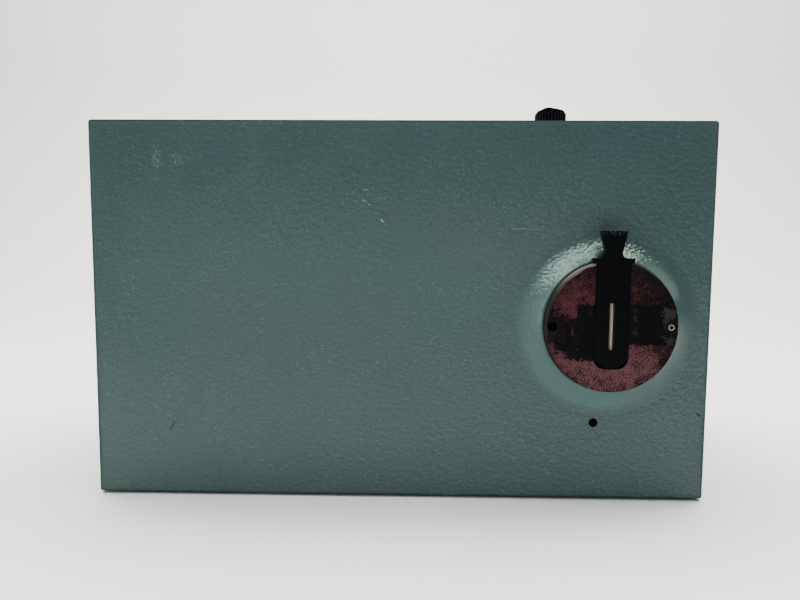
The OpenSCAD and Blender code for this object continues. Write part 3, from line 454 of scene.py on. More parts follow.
def mark_face(s, colour, paint, place, on_face):
    """Lays scuffs and nicks over a colour, on the front only."""
    front = s.step(s.axes(on_face)["Y"], 12.0, 10.0)
    broken = s.step(s.noise(place, 1.0, roughness=0.7, seed=40.0), 0.50, 0.66)
    for kind, spot, half, turn, ragged, soft, share in FACE_MARKS:
        inputs = {"Vector": on_face, "Center": (spot[0], 0.0, spot[1]), "Angle": math.radians(turn)}
        turned = s.put("VectorRotate", inputs, rotation_type="Y_AXIS").outputs[0]
        mark = s.mark(turned, spot, half, ragged, ragged / 5, soft)
        if kind == "scuff" and min(half) > SOLID_SCUFF:
            mark = s.times(mark, broken)
        colour = s.mix(s.times(mark, s.times(front, share)), colour, getattr(paint, kind))
    return colour


def paint_hole_shade(s, colour, paint):
    """Paints shade into the insides of the accessory holes."""
    for mount in frame["record"]["mounts"]:
        if "accessory_hole" in mount["name"]:
            spot = s.axes(s.millimetres(mount["pos_m"]))
            rim = mount["dims"]["r_mm"]
            bore = s.step(s.reach(spot["X"], spot["Z"]), rim + 0.15, rim)
            deep = s.step(s.away(spot["Y"]), 40.0, 30.0)
            colour = s.mix(s.times(bore, deep), colour, paint.grime_and_shade)
    return colour


def box_paint(paint):
    """Teal enamel with a fine orange peel, smoother on the flares, the marks of long use, and
    painted light and shade.
    """
    s = Coat("box_paint", 0.36)
    place = s.millimetres()
    on_face = s.millimetres(HOUSING[0])
    from_port = s.axes(s.millimetres((PORT.x, 0.0, PORT.z)))
    radius = s.reach(from_port["X"], from_port["Z"])
    face = s.step(radius, *RUN_OUT)
    upper_left = s.minus(from_port["Z"], from_port["X"])

    # The peel is smoothest at the lower right of the flares, and deepest at the face's lower right
    on_flare = s.step(upper_left, -26.0, 26.0, 0.2, 1.1)
    rough_side = s.step(upper_left, 60.0, -40.0, 0.5, 1.4)
    bumpy = s.plus(s.times(s.minus(rough_side, on_flare), face), on_flare)
    skin = s.shared(peel, {"Vector": place, "Lump": paint.lump})
    s.relief(s.times(skin["Height"], bumpy), 1.0, paint.depth)

    # Clouds of a greener teal, and painted light: paler flanks low on the left of the flares
    drift = s.clouds(place, 70.0, 0.38, 0.62)
    colour = s.mix(drift, paint.colour, paint.greener)
    around = s.plus(s.times(from_port["X"], 0.9), s.times(from_port["Z"], 0.45))
    flank_light_mask = s.times(s.step(around, 8.0, -20.0), s.step(radius, *FLANK_LIGHT_RADII))
    colour = s.mix(flank_light_mask, colour, paint.painted_flank_light)

    # Fine grain, painted light and shade on the lumps' upper and lower sides, painted glints on
    # scattered crests, and painted shade in pits
    grain = s.noise(place, 0.55, roughness=0.7, seed=60.0)
    colour = s.mix(s.step(grain, 0.40, 0.66, 0.0, 0.20), colour, paint.grime_and_shade)
    # Painted light and shade: each lump is drawn lit above and shaded below
    lumps = s.shared(painted_lump_shading, {"Vector": place, "Lump": 1.8})
    share = s.times(s.step(upper_left, 130.0, -30.0, 0.55, 1.0), face)
    for side, most, tint in (("LitSide", 0.12, paint.glint), ("ShadedSide", 0.17, paint.grime_and_shade)):
        colour = s.mix(s.times(lumps[side], s.times(share, most)), colour, tint)
    thick = s.step(radius, 36.0, 43.0, 0.3, 1.0)
    # Painted glints on the crests, and painted shade in the pits
    crowd = s.clouds(place, 16.0, 0.35, 0.65)
    for spots, most, tint in (("Crest", 0.25, paint.glint), ("Pit", 0.20, paint.grime_and_shade)):
        spot = s.times(skin[spots], s.step(crowd, 0.0, 1.0, 0.08, most))
        colour = s.mix(s.times(spot, thick), colour, tint)

    colour = mark_face(s, colour, paint, place, on_face)

    # A painted shadow of the gap round each slit mount
    from_middle = s.away(s.axes(place)["Y"])
    painted_gap_shadow = s.times(s.step(radius, *GAP_SHADOW), s.step(from_middle, *LIPS))
    colour = s.mix(painted_gap_shadow, colour, paint.grime_and_shade)
    colour = paint_hole_shade(s, colour, paint)

    # Dark lines along the sides and top of both faces, and a duller band beside them where the
    # enamel has been handled
    size = (HOUSING[1] - HOUSING[0]) / MM
    sides = s.axes(on_face)
    from_side = s.calc("MINIMUM", sides["X"], s.minus(size.x, sides["X"]))
    from_edge = s.calc("MINIMUM", from_side, s.minus(size.z, sides["Z"]))
    near_face = s.step(from_middle, *NEAR_FACE)
    line = s.times(s.step(from_edge, *EDGE_LINE, 0.0, 0.85), near_face)
    handled = s.times(s.step(from_edge, *EDGE_BAND), near_face)
    s.lay("Base Color", s.mix(line, colour, paint.grime_and_shade))
    gloss = s.step(s.clouds(place, 25.0, 0.3, 0.7), 0.0, 1.0, 0.17, 0.22)
    s.lay("Roughness", s.plus(gloss, s.times(handled, 0.4)))
    s.lay("Specular IOR Level", s.step(handled, 0.0, 1.0, 0.20, 0.0))
    return s.material


def base_black():
    """Matt black paint of the base plate."""
    s = Coat("base_black", 0.7)
    place = s.millimetres()
    mask = s.clouds(place, 6.0, 0.35, 0.7)
    s.lay("Base Color", s.mix(mask, (0.012, 0.012, 0.012), (0.022, 0.022, 0.021)))
    s.relief(s.noise(place, 0.5), 0.2, 0.2)
    return s.material


def foot_rubber():
    """Black rubber, a little dusty."""
    s = Coat("foot_rubber", 0.85)
    place = s.millimetres()
    mask = s.clouds(place, 3.0, 0.45, 0.75)
    s.lay("Base Color", s.mix(mask, (0.010, 0.010, 0.010), (0.035, 0.034, 0.032)))
    s.relief(s.noise(place, 0.3), 0.25, 0.1)
    return s.material


# Marks on a slit mount's face: tint, place from the port's axis, half size, ragged, grain, soft
# edge and share, all in millimetres apart from the share
MOUNT_MARKS = [
    ("worn", (-11.0, -2.4), (4.2, 12.4), 1.3, 1.2, 0.30, 0.99),
    ("worn", (-17.3, -5.4), (3.0, 9.0), 2.0, 1.6, 0.50, 0.97),
    ("worn", (-21.4, -2.4), (3.4, 7.6), 2.6, 1.8, 0.80, 0.93),
    ("worn", (-25.6, 3.4), (2.8, 5.2), 2.0, 1.5, 0.60, 0.92),
    ("worn", (-26.4, -4.6), (1.8, 3.4), 2.0, 1.5, 0.60, 0.80),
    ("worn", (-22.6, -9.4), (2.6, 2.6), 2.6, 1.4, 0.80, 0.75),
    ("worn", (14.9, 1.0), (7.4, 9.0), 1.4, 1.2, 0.30, 0.99),
    ("worn", (24.9, 1.2), (3.8, 9.6), 2.2, 1.5, 0.50, 0.94),
    ("worn", (25.6, 12.6), (2.0, 2.8), 2.2, 1.2, 0.50, 0.88),
    ("worn", (16.4, 12.0), (3.4, 0.9), 3.6, 0.9, 0.40, 0.80),
    ("worn", (24.4, -15.4), (3.0, 3.0), 3.4, 1.4, 1.20, 0.62),
    ("worn", (19.6, -9.8), (2.2, 1.0), 2.8, 1.0, 0.50, 0.75),
    ("grey", (25.0, 6.2), (3.0, 2.2), 2.6, 1.3, 0.20, 0.85),
    ("grey", (23.6, 2.6), (1.3, 1.4), 2.0, 1.1, 0.20, 0.75),
    ("grey", (25.4, -6.0), (1.8, 1.6), 2.2, 1.0, 0.25, 0.75),
    ("grey", (22.6, -4.4), (0.9, 0.7), 1.6, 0.9, 0.25, 0.60),
    ("grey", (9.9, 7.4), (0.5, 1.1), 1.2, 0.9, 0.25, 0.55),
    ("grey", (10.1, 3.7), (0.7, 1.3), 1.8, 0.8, 0.25, 0.60),
    ("grey", (10.3, -2.0), (0.7, 1.5), 2.2, 0.8, 0.25, 0.60),
    ("grey", (-9.6, 6.3), (0.5, 0.5), 1.0, 0.8, 0.25, 0.45),
    ("grey", (-25.0, 6.0), (0.9, 1.6), 2.2, 1.0, 0.30, 0.50),
    ("grey", (-19.6, 3.4), (0.8, 1.1), 2.0, 1.0, 0.30, 0.30),
    ("pink", (-17.0, -2.2), (0.35, 1.8), 1.2, 0.9, 0.30, 0.14),
    ("pale", (2.5, -20.3), (0.14, 0.9), 0.4, 0.8, 0.18, 0.60),
]


# How far the marks' edges wander on a mount, for each 1 in the table's ragged column
WANDER = 3.2
# Radii in millimetres from a mount screw's axis: the rubbed ring, and the dark spot inside it
WASHER_RING = 2.75
WASHER_SPOT = (2.7, 2.3)


def mount_maroon(port, name, centre, side):
    """Worn maroon anodising with a dark band across it. side is -1 at the front."""
    s = Coat(name, 0.6, specular=0.03)
    mm = s.millimetres((centre.x, 0.0, centre.z))
    flip = s.move("MULTIPLY", mm, (-side, 1.0, 1.0))
    axes = s.axes(flip)
    radius = s.reach(axes["X"], axes["Z"])
    edge = (FRONT_MOUNT[1].x - FRONT_MOUNT[0].x) / 2 / MM

    # Speckled maroon: paler towards the bottom, and blacker towards the top right and the edge
    grain = s.noise(flip, 0.34, roughness=0.8)
    pale = s.step(axes["Z"], -24.0, 8.0, 0.95, 0.26)
    pink = s.times(s.step(grain, 0.40, 0.62), pale, clamp=True)
    colour = s.mix(pink, port.maroon, port.pink)
    blotch = s.noise(flip, 3.2, detail=3.0, roughness=0.6, seed=5.0)
    black = s.noise(flip, 0.40, roughness=0.75, seed=17.0)
    black = s.plus(black, s.times(s.minus(blotch, 0.5), 0.35))
    towards = s.plus(axes["X"], axes["Z"])
    black = s.plus(black, s.step(towards, -12.0, 34.0, 0.0, 0.15))
    black = s.plus(black, s.step(radius, 22.0, 28.8, 0.0, 0.05))
    colour = s.mix(s.step(black, 0.50, 0.60, 0.0, 0.94), colour, port.worn)

    tints = {"worn": port.worn, "grey": port.grey, "pink": port.pink, "pale": port.rim}
    for tint, spot, half, ragged, size, soft, share in MOUNT_MARKS:
        mark = s.mark(flip, spot, half, WANDER * ragged, size, soft)
        colour = s.mix(s.times(mark, share), colour, tints[tint])

    # Rubbed rings that the screws' washers left
    aside = s.minus(s.away(axes["X"]), SCREW_OUT / MM)
    from_screw = s.reach(aside, axes["Z"])
    off_ring = s.away(s.minus(from_screw, WASHER_RING))
    ring = s.times(s.step(off_ring, 0.26, 0.08), s.step(blotch, 0.40, 0.55), clamp=True)
    colour = s.mix(s.step(from_screw, *WASHER_SPOT, 0.0, 0.75), colour, port.worn)
    colour = s.mix(s.times(ring, 0.55), colour, port.grey)

    # A dark lip, and outside it a painted crescent of the mount's wall: painted light on bare metal
    # at the upper left, and painted shade in grey elsewhere
    lip = s.times(s.step(radius, edge - 0.7, edge - 0.2), 0.55)
    colour = s.mix(lip, colour, port.worn)
    aslant = s.reach(s.minus(axes["X"], 0.6), s.plus(axes["Z"], 0.7))
    painted_wall_crescent = s.plus(aslant, s.step(blotch, 0.3, 0.7, -0.3, 0.3))
    high = s.step(axes["Z"], 9.0, 26.0)
    upper_left = s.times(s.times(high, high), s.step(axes["X"], 9.0, 0.0))
    wall_lit_and_shaded = s.mix(upper_left, port.grey, port.rim)
    colour = s.mix(s.step(painted_wall_crescent, edge - 0.15, edge + 0.25, 0.0, 0.9), colour, wall_lit_and_shaded)

    # The channel is painted black as shade, and the wall behind the face takes the same painted
    # light and shade as the crescent
    depth = s.minus(s.away(axes["Y"]), -FRONT_MOUNT[0].y / MM)
    inside = s.times(s.step(depth, -0.10, -0.25), s.step(radius, 24.0, 23.0))
    wall = s.times(s.step(radius, edge - 0.06, edge - 0.02), s.step(depth, -0.02, -0.10))
    colour = s.mix(inside, colour, port.worn)
    s.lay("Base Color", s.mix(wall, colour, wall_lit_and_shaded))
    s.lay("Roughness", s.step(grain, 0.3, 0.7, 0.5, 0.65))
    s.lay("Metallic", s.times(wall, 0.6))
    s.relief(grain, 0.5, 0.05)
    return s.material


def slide_black(port, name, centre, top):
    """Black anodised aluminium, with rubbed patches at the top of its grip."""
    s = Coat(name, 0.42, specular=0.03)
    place = s.millimetres(centre)
    turned = s.put("Mapping", {0: place, "Rotation": (0.0, math.radians(90), 0.0)}).outputs[0]
    marks = s.shared(scratches, {"Vector": turned, "Width": 0.22, "Share": 0.30})["Mask"]
    dust = s.step(s.noise(place, 0.5, roughness=0.7), 0.64, 0.78)
    rub = s.calc("MAXIMUM", s.times(marks, 0.03), s.times(dust, 0.02))
    below_top = s.minus((top - centre.z) / MM, s.axes(place)["Z"])
    worn = s.step(s.noise(place, 1.0, detail=3.0, roughness=0.7, seed=9.0), 0.50, 0.64)
    worn = s.times(worn, s.step(below_top, 2.6, 0.8, 0.0, 0.30))
    rub = s.calc("MAXIMUM", rub, worn)
    s.lay("Base Color", s.mix(rub, port.slide, (0.16, 0.16, 0.17)))
    s.lay("Roughness", s.step(s.noise(place, 2.0), 0.3, 0.7, 0.34, 0.46))
    s.relief(s.noise(place, 0.12, detail=1.0), 0.06, 0.05)
    return s.material


def blade_steel(port):
    """Fine-ground pale steel."""
    s = Coat("blade_steel", 0.45, metallic=0.55)
    place = s.millimetres()
    marks = s.noise(place, 0.16, squash=(1.0, 1.0, 0.08))
    s.lay("Base Color", s.mix(marks, port.blade, (0.56, 0.49, 0.36)))
    s.lay("Roughness", s.step(marks, 0.3, 0.7, 0.38, 0.55))
    return s.material


def knob_plastic(drive):
    """Black moulded plastic, whose rib crests are greyed by handling and by painted sheen."""
    s = Coat("knob_plastic", 0.5, specular=0.0)
    place = s.millimetres((KNOB_AXIS.x, KNOB_AXIS.y, KNOB[1].z))
    axes = s.axes(place)
    rim = (KNOB[1].x - KNOB[0].x) / 2 / MM
    # Painted sheen and handling wear on the ribs' outer edges
    rib_crest_sheen = s.step(s.reach(axes["X"], axes["Y"]), rim - 0.35, rim - 0.05)
    mask = s.clouds(place, 1.6, 0.3, 0.7)
    rib_crest_sheen = s.times(rib_crest_sheen, s.step(mask, 0.0, 1.0, 0.55, 1.0))
    s.lay("Base Color", s.mix(rib_crest_sheen, drive.knob, drive.handled))
    s.lay("Roughness", s.step(mask, 0.0, 1.0, 0.42, 0.55))
    s.relief(s.noise(place, 0.25), 0.10, 0.05)
    return s.material


# Radii in millimetres where a mount screw's bright ring starts and ends
RING_INNER = (0.82, 0.94)
RING_OUTER = (1.42, 1.30)


def port_screw():
    """Steel socket-head screw: a socket painted dark as shade, a bright ring and a dark edge."""
    s = Coat("port_screw", 0.42, metallic=1.0)
    axes = s.axes(s.millimetres((PORT.x, 0.0, PORT.z)))
    aside = s.minus(s.away(axes["X"]), SCREW_OUT / MM)
    radius = s.reach(aside, axes["Z"])
    grain = s.noise(s.millimetres(), 0.25)
    bright = s.times(s.step(radius, *RING_INNER), s.step(radius, *RING_OUTER))
    steel = s.mix(grain, (0.13, 0.115, 0.095), (0.21, 0.185, 0.155))
    # The socket is painted dark as shade, and the head is dark outside the ring as well
    s.lay("Base Color", s.mix(bright, (0.012, 0.011, 0.012), steel))
    s.lay("Roughness", s.step(grain, 0.3, 0.7, 0.36, 0.52))
    return s.material


# Material, setting of its tint, tarnish, roughness, how its machining lines run, and its nodes
METALS = [
    ("screw_steel", "steel", (0.20, 0.17, 0.12), 0.30, (1.0, 1.0, 1.0),
     ("base_screws", "drive_plate_screws", "stand_screws", "knob_set_screw")),
    ("shaft_steel", "steel", (0.33, 0.33, 0.34), 0.24, (0.3, 1.0, 1.0),
     ("knob_shaft", "lead_screw", "guide_rod", "grating_shaft", "grating_pivot", "idler_spindle",
      "spring_post", "arm_ball", "pusher_plate", "upper_bearing", "lower_bearing",
      "return_spring")),
    ("bush_brass", "brass", (0.34, 0.20, 0.07), 0.30, (1.0, 1.0, 1.0),
     ("knob_bush", "knob_gear", "screw_gear", "screw_bushes", "drive_nut", "counter_pinion",
      "counter_idler")),
    ("bare_aluminium", "aluminium", (0.42, 0.42, 0.43), 0.38, (0.15, 1.0, 1.0),
     ("drive_plate", "right_bearing_block", "middle_bearing_block", "left_bearing_block",
      "sine_arm", "pivot_post")),
]


def bare_metal(name, tint, tarnished, roughness, lines):
    """Bare metal with machining lines and faint tarnish."""
    s = Coat(name, roughness, metallic=1.0)
    place = s.millimetres()
    cut = s.noise(place, 0.25, squash=lines)
    tarnish = s.times(s.clouds(place, 9.0, 0.4, 0.75), 0.45)
    s.lay("Base Color", s.mix(tarnish, tint, tarnished))
    s.lay("Roughness", s.step(cut, 0.25, 0.75, roughness - 0.08, roughness + 0.1))
    s.relief(cut, 0.12, 0.04)
    return s.material


def matt_black(drive):
    """Matt black finish against stray light."""
    s = Coat("inner_black", 0.78, specular=0.3)
    place = s.millimetres()
    mask = s.clouds(place, 8.0, 0.35, 0.7)
    s.lay("Base Color", s.mix(mask, drive.inner_black, (0.03, 0.03, 0.031)))
    s.relief(s.noise(place, 0.3), 0.15, 0.08)
    return s.material


def optic_mirror():
    """Aluminised glass."""
    s = Coat("optic_mirror", 0.03, metallic=1.0)
    place = s.millimetres()
    haze = s.clouds(place, 14.0, 0.4, 0.8)
    s.lay("Base Color", s.mix(haze, (0.88, 0.90, 0.92), (0.82, 0.84, 0.88)))
    s.lay("Roughness", s.step(haze, 0.0, 1.0, 0.02, 0.07))
    return s.material


def ruled_grating():
    """Aluminised concave grating, whose fine grooves run up and down."""
    s = Coat("ruled_grating", 0.1, metallic=1.0)
    place = s.millimetres()
    grooves = s.put(
        "TexWave", {"Vector": place, "Scale": 6.0, "Distortion": 0.0}, bands_direction="Y"
    ).outputs[0]
    sheen = s.clouds(place, 20.0, 0.3, 0.7)
    s.lay("Base Color", s.mix(sheen, (0.62, 0.72, 0.90), (0.86, 0.80, 0.88)))
    s.relief(grooves, 0.05, 0.02)
    return s.material


def drum_white(drive):
    """Off-white moulded plastic."""
    s = Coat("drum_white", 0.5)
    place = s.millimetres()
    aged = s.times(s.clouds(place, 5.0, 0.4, 0.8), 0.35)
    s.lay("Base Color", s.mix(aged, drive.drum, (0.56, 0.52, 0.42)))
    s.relief(s.noise(place, 0.4), 0.08, 0.04)
    return s.material


def plain_ink(name, tint):
    """Printed ink with a slightly uneven film."""
    s = Coat(name, 0.55)
    film = s.noise(s.millimetres(), 0.3)
    lighter = tuple(min(1.0, c * 1.6 + 0.01) for c in tint)
    s.lay("Base Color", s.mix(film, tint, lighter))
    return s.material


def window_glass():
    """Clear glass, which is faintly smeared."""
    s = Coat("window_glass", 0.03, specular=0.12)
    s.lay("Transmission Weight", 1.0)
    s.lay("IOR", 1.45)
    s.lay("Base Color", (0.93, 0.96, 0.95))
    smear = s.clouds(s.millimetres(), 5.0, 0.5, 0.8)
    s.lay("Roughness", s.step(smear, 0.0, 1.0, 0.0, 0.02))
    return s.material


def stage_paper(stage):
    """Pale seamless paper, with painted shade behind the camera."""
    s = Coat("stage_paper", 0.75, specular=0.2)
    place = s.millimetres()
    darker = tuple(c * 0.985 for c in stage.floor)
    shade = tuple(c * stage.shade for c in stage.floor)
    paper = s.mix(s.clouds(place, 300.0, 0.3, 0.7), stage.floor, darker)
    # Painted shade on the floor behind the camera
    behind = s.step(s.axes(place)["Y"], -330.0, -620.0)
    s.lay("Base Color", s.mix(behind, paper, shade))
    return s.material


# ---------------------------------------------------------------- modelling helpers


def deselect():
    bpy.ops.object.select_all(action="DESELECT")
    bpy.context.view_layer.objects.active = None


@contextmanager
def edit_mode(select=None):
    """Edit mode for the steps under it, which start from a select_all if select names one."""
    bpy.ops.object.mode_set(mode="EDIT")
    if select:
        bpy.ops.mesh.select_all(action=select)
    yield
    bpy.ops.object.mode_set(mode="OBJECT")


def activate(*pieces):
    deselect()
    for piece in pieces:
        piece.select_set(True)
    bpy.context.view_layer.objects.active = pieces[0]


def apply_place(piece):
    """Moves a piece's place, turn and size into its mesh."""
    activate(piece)
    bpy.ops.object.transform_apply(location=True, rotation=True, scale=True)


def apply_modifiers(piece):
    activate(piece)
    for modifier in list(piece.modifiers):
        bpy.ops.object.modifier_apply(modifier=modifier.name)


def finish_piece(piece, name, material, body):
    """Names a new piece, gives it its material and lets it ride."""
    piece.name = name
    piece.data.materials.clear()
    piece.data.materials.append(material)
    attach(piece, body)
    return piece


def line_bar(name, size, place, count=1, step=0.0):
    """Thin bar, or a column of count bars that are step apart along Z with one of them at place."""
    deselect()
    bpy.ops.mesh.primitive_cube_add(size=1, location=place)
    bar = bpy.context.active_object
    bar.name = name
    bar.scale = size
    bar.location.z -= (count // 2) * step
    apply_place(bar)
    with edit_mode("SELECT"):
        bpy.ops.mesh.bevel(offset=min(size) * 0.3, segments=1)
    if count > 1:
        column = bar.modifiers.new("column", "ARRAY")
        column.count = count
        column.use_relative_offset = False
        column.use_constant_offset = True
        column.constant_offset_displace = (0, 0, step)
        apply_modifiers(bar)
    return bar


# How the drums are printed, in metres: height of their rims over the numbers, width that is
# printed at most, boldness of the numbers and thickness of the lines
DRUM_RIM = 0.5 * MM
PRINTED = 11 * MM
BOLD = 0.00012
LINE = 0.00032
# Shares of the printed width: a number's middle with lines beside it and without, the lines' right
# end, and the reach of the short and the long lines
BESIDE, ALONE, RIGHT, SHORT, LONG = 0.34, 0.5, 0.90, 0.16, 0.28


def number_ring(name, drum, start, divisions, counter):
    """Ring of numbers on a drum whose axis is X, with lines beside them if it has divisions.

    The numbers are set in a flat column, one above another with the first one in the middle, and
    the column is then bent once round the drum."""
    low, high = drum
    radius = (high.z - low.z) / 2 - DRUM_RIM
    length = 2 * math.pi * radius
    pitch = length / counter.digits
    width = min(high.x - low.x, PRINTED)
    half = counter.digits // 2
    made = []
    for k in range(-half, counter.digits - half):
        deselect()
        place = (low.x + width * (BESIDE if divisions else ALONE), 0, k * pitch)
        bpy.ops.object.text_add(location=place, rotation=(math.radians(90), 0, 0))
        text = bpy.context.active_object.data
        text.body = str((start - k) % counter.digits)
        text.align_x = "CENTER"
        text.align_y = "CENTER"
        text.size = counter.height
        text.offset = BOLD
        text.extrude = counter.ink_depth / 2
        text.resolution_u = 4
        bpy.ops.object.convert(target="MESH")
        made.append(bpy.context.active_object)
    if divisions:
        right = low.x + width * RIGHT
        for reach, count in ((width * SHORT, divisions), (width * LONG, counter.digits)):
            size = (reach, counter.ink_depth, LINE)
            place = (right - reach / 2, 0, 0)
            made.append(line_bar("lines", size, place, count, length / count))
    activate(*made)
    bpy.ops.object.transform_apply(location=True, rotation=True, scale=True)
    bpy.ops.object.join()
    ring = bpy.context.active_object
    ring.name = name

    levels = [vertex.co.z for vertex in ring.data.vertices]
    bend = ring.modifiers.new("bend", "SIMPLE_DEFORM")
    bend.deform_method = "BEND"
    bend.deform_axis = "X"
    bend.angle = (max(levels) - min(levels)) / radius
    apply_modifiers(ring)
    ring.rotation_euler = (math.radians(-90), 0, 0)
    ring.location = (0, DRUM_AXIS.y, DRUM_AXIS.z + radius)
    apply_place(ring)
    return ring


# ---------------------------------------------------------------- stage

# Size and middle of the floor, how the backdrop leans and rises from it, the bend between them, and
# how near counts as touching
FLOOR_SIZE = (6.0, 4.2, 1)
FLOOR_MIDDLE = (0, -1.1, 0)
BACKDROP = (0, 0.35, 2.6)
BEND = 0.5
TOUCH = 1e-6

# Aim and tint of the lights that put the sheen on the enamel
PORT_FACE = (PORT.x, FACE_Y, PORT.z)
MINT = (0.78, 1.0, 0.82)
# Area lights: place, aim, size, power, tint, and whether they show in reflections only
LIGHTS = {
    "light_sheen": ((-0.33, -0.86, 0.90), PORT_FACE, (0.85, 0.56), 36.0, MINT, True),
    "light_strip": ((0.42, -0.61, 1.09), PORT_FACE, (0.9, 0.5), 50.0, MINT, True),
    "light_left": ((-0.88, -0.54, 0.26), PORT_FACE, (0.40, 0.44), 6.4, MINT, True),
    "light_right": ((0.98, -0.20, 0.50), PORT_FACE, (0.5, 0.5), 3.0, MINT, True),
    "light_crown": ((-0.52, -0.36, 1.10), PORT_FACE, (0.5, 0.4), 14.0, MINT, True),
    "light_front": ((-0.10, -0.95, 0.06), (-0.05, -0.07, 0.08), (0.9, 0.22), 1.9, MINT, True),
    "light_key": ((-0.30, -0.75, 0.66), PORT_FACE, (0.45, 0.40), 2.0, (1.0, 1.0, 0.98), False),
    "light_above": ((0.0, 0.09, 0.95), (0.0, 0.09, 0), (1.6, 0.7), 34, (1.0, 0.99, 0.96), False),
    "light_back": ((0.0, 0.4, 1.7), (0, 1.2, 0.6), (2.4, 0.8), 75, (1.0, 1.0, 0.97), False),
}
WORLD_COLOUR = (0.86, 0.88, 0.9, 1)
WORLD_STRENGTH = 0.06


def select_crease(floor, y):
    """Selects only the floor's vertices and edges that lie on the ground at y."""
    with edit_mode("DESELECT"):
        pass
    points = floor.data.vertices
    for point in points:
        point.select = abs(point.co.y - y) < TOUCH and abs(point.co.z) < TOUCH
    for edge in floor.data.edges:
        edge.select = all(points[i].select for i in edge.vertices)


def lay_floor(stage):
    """Floor that bends up into a leaning backdrop."""
    deselect()
    bpy.ops.mesh.primitive_plane_add(size=1, location=(0, 0, 0))
    floor = bpy.context.active_object
    floor.name = "stage_floor"
    floor.scale = FLOOR_SIZE
    floor.location = FLOOR_MIDDLE
    apply_place(floor)
    back = max(point.co.y for point in floor.data.vertices)
    select_crease(floor, back)
    with edit_mode():
        bpy.ops.mesh.extrude_region_move(TRANSFORM_OT_translate={"value": BACKDROP})
    select_crease(floor, back)
    with edit_mode():
        bpy.ops.mesh.bevel(offset=BEND, segments=16)
    bpy.ops.object.shade_smooth()
    floor.data.materials.append(stage_paper(stage))


def place_light(name, place, aim, size, power, tint, sheen_only):
    """Rectangular light that points at aim and that no camera sees."""
    deselect()
    bpy.ops.object.light_add(type="AREA", location=place)
    light = bpy.context.active_object
    light.name = name
    light.data.shape = "RECTANGLE"
    light.data.size, light.data.size_y = size
    light.data.energy = power
    light.data.color = tint
    light.visible_diffuse = not sheen_only
    light.visible_camera = False
    turn = (Vector(aim) - Vector(place)).to_track_quat("-Z", "Y")
    light.rotation_euler = turn.to_euler()


def faint_world():
    """Even, weak light from all round."""
    world = bpy.data.worlds.new("stage_world")
    world.use_nodes = True
    background = world.node_tree.nodes["Background"].inputs
    background["Color"].default_value = WORLD_COLOUR
    background["Strength"].default_value = WORLD_STRENGTH
    return world


def place_camera(stage):
    """Camera in front of the face, turned and tilted as the settings say."""
    deselect()
    place = (stage.side, FACE_Y - stage.back, stage.height)
    bpy.ops.object.camera_add(location=place)
    camera = bpy.context.active_object
    camera.name = "stage_camera"
    camera.data.lens = stage.lens
    camera.data.sensor_width = 36.0
    camera.data.clip_start = 0.01
    aim = Matrix.Rotation(math.radians(stage.yaw), 3, "Z")
    aim = aim @ Matrix.Rotation(math.radians(90 - stage.pitch), 3, "X")
    aim = aim @ Matrix.Rotation(math.radians(stage.roll), 3, "Z")
    camera.rotation_euler = aim.to_euler()
    return camera


# ---------------------------------------------------------------- operators


class MONO_OT_paint_box(bpy.types.Operator):
    """Paint the cast box and the pins beside the slit mounts"""

    bl_idname = "mono.paint_box"
    bl_label = "Paint box"

    def execute(self, context):
        wear(box_paint(context.scene.mono_paint), "housing", "index_pins")
        return {"FINISHED"}


class MONO_OT_finish_base(bpy.types.Operator):
    """Blacken the base plate and give the feet their rubber"""

    bl_idname = "mono.finish_base"
    bl_label = "Finish base"

    def execute(self, context):
        wear(base_black(), "base_plate")
        wear(foot_rubber(), "feet")
        return {"FINISHED"}


class MONO_OT_finish_ports(bpy.types.Operator):
    """Finish the slit mounts, the slit slides and their blades"""

    bl_idname = "mono.finish_ports"
    bl_label = "Finish ports"

    def execute(self, context):
        port = context.scene.mono_port
        for end, side in (("front", -1), ("rear", 1)):
            mount = middle(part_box(end + "_slit_mount"))
            wear(mount_maroon(port, f"mount_maroon_{end}", mount, side), end + "_slit_mount")
            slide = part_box(end + "_slit_slide")
            black = slide_black(port, f"slide_black_{end}", middle(slide), slide[1].z)
            wear(black, end + "_slit_slide")
        wear(blade_steel(port), "front_slit_blades", "rear_slit_blades")
        wear(port_screw(), "slit_mount_screws")
        return {"FINISHED"}


class MONO_OT_finish_knob(bpy.types.Operator):
    """Give the knob its black plastic"""

    bl_idname = "mono.finish_knob"
    bl_label = "Finish knob"

    def execute(self, context):
        wear(knob_plastic(context.scene.mono_drive), "knob")
        return {"FINISHED"}


class MONO_OT_finish_metal(bpy.types.Operator):
    """Finish the screws, shafts, brass pieces and aluminium pieces"""

    bl_idname = "mono.finish_metal"
    bl_label = "Finish metal"

    def execute(self, context):
        drive = context.scene.mono_drive
        for name, tint, tarnished, roughness, lines, nodes in METALS:
            wear(bare_metal(name, getattr(drive, tint), tarnished, roughness, lines), *nodes)
        return {"FINISHED"}


class MONO_OT_finish_optics(bpy.types.Operator):
    """Finish the mirrors, the grating and the black pieces that hold them"""

    bl_idname = "mono.finish_optics"
    bl_label = "Finish optics"

    def execute(self, context):
        wear(matt_black(context.scene.mono_drive), "grating_cell", "mirror_stand", "baffle")
        wear(optic_mirror(), "entrance_mirror", "exit_mirror")
        wear(ruled_grating(), "grating")
        return {"FINISHED"}


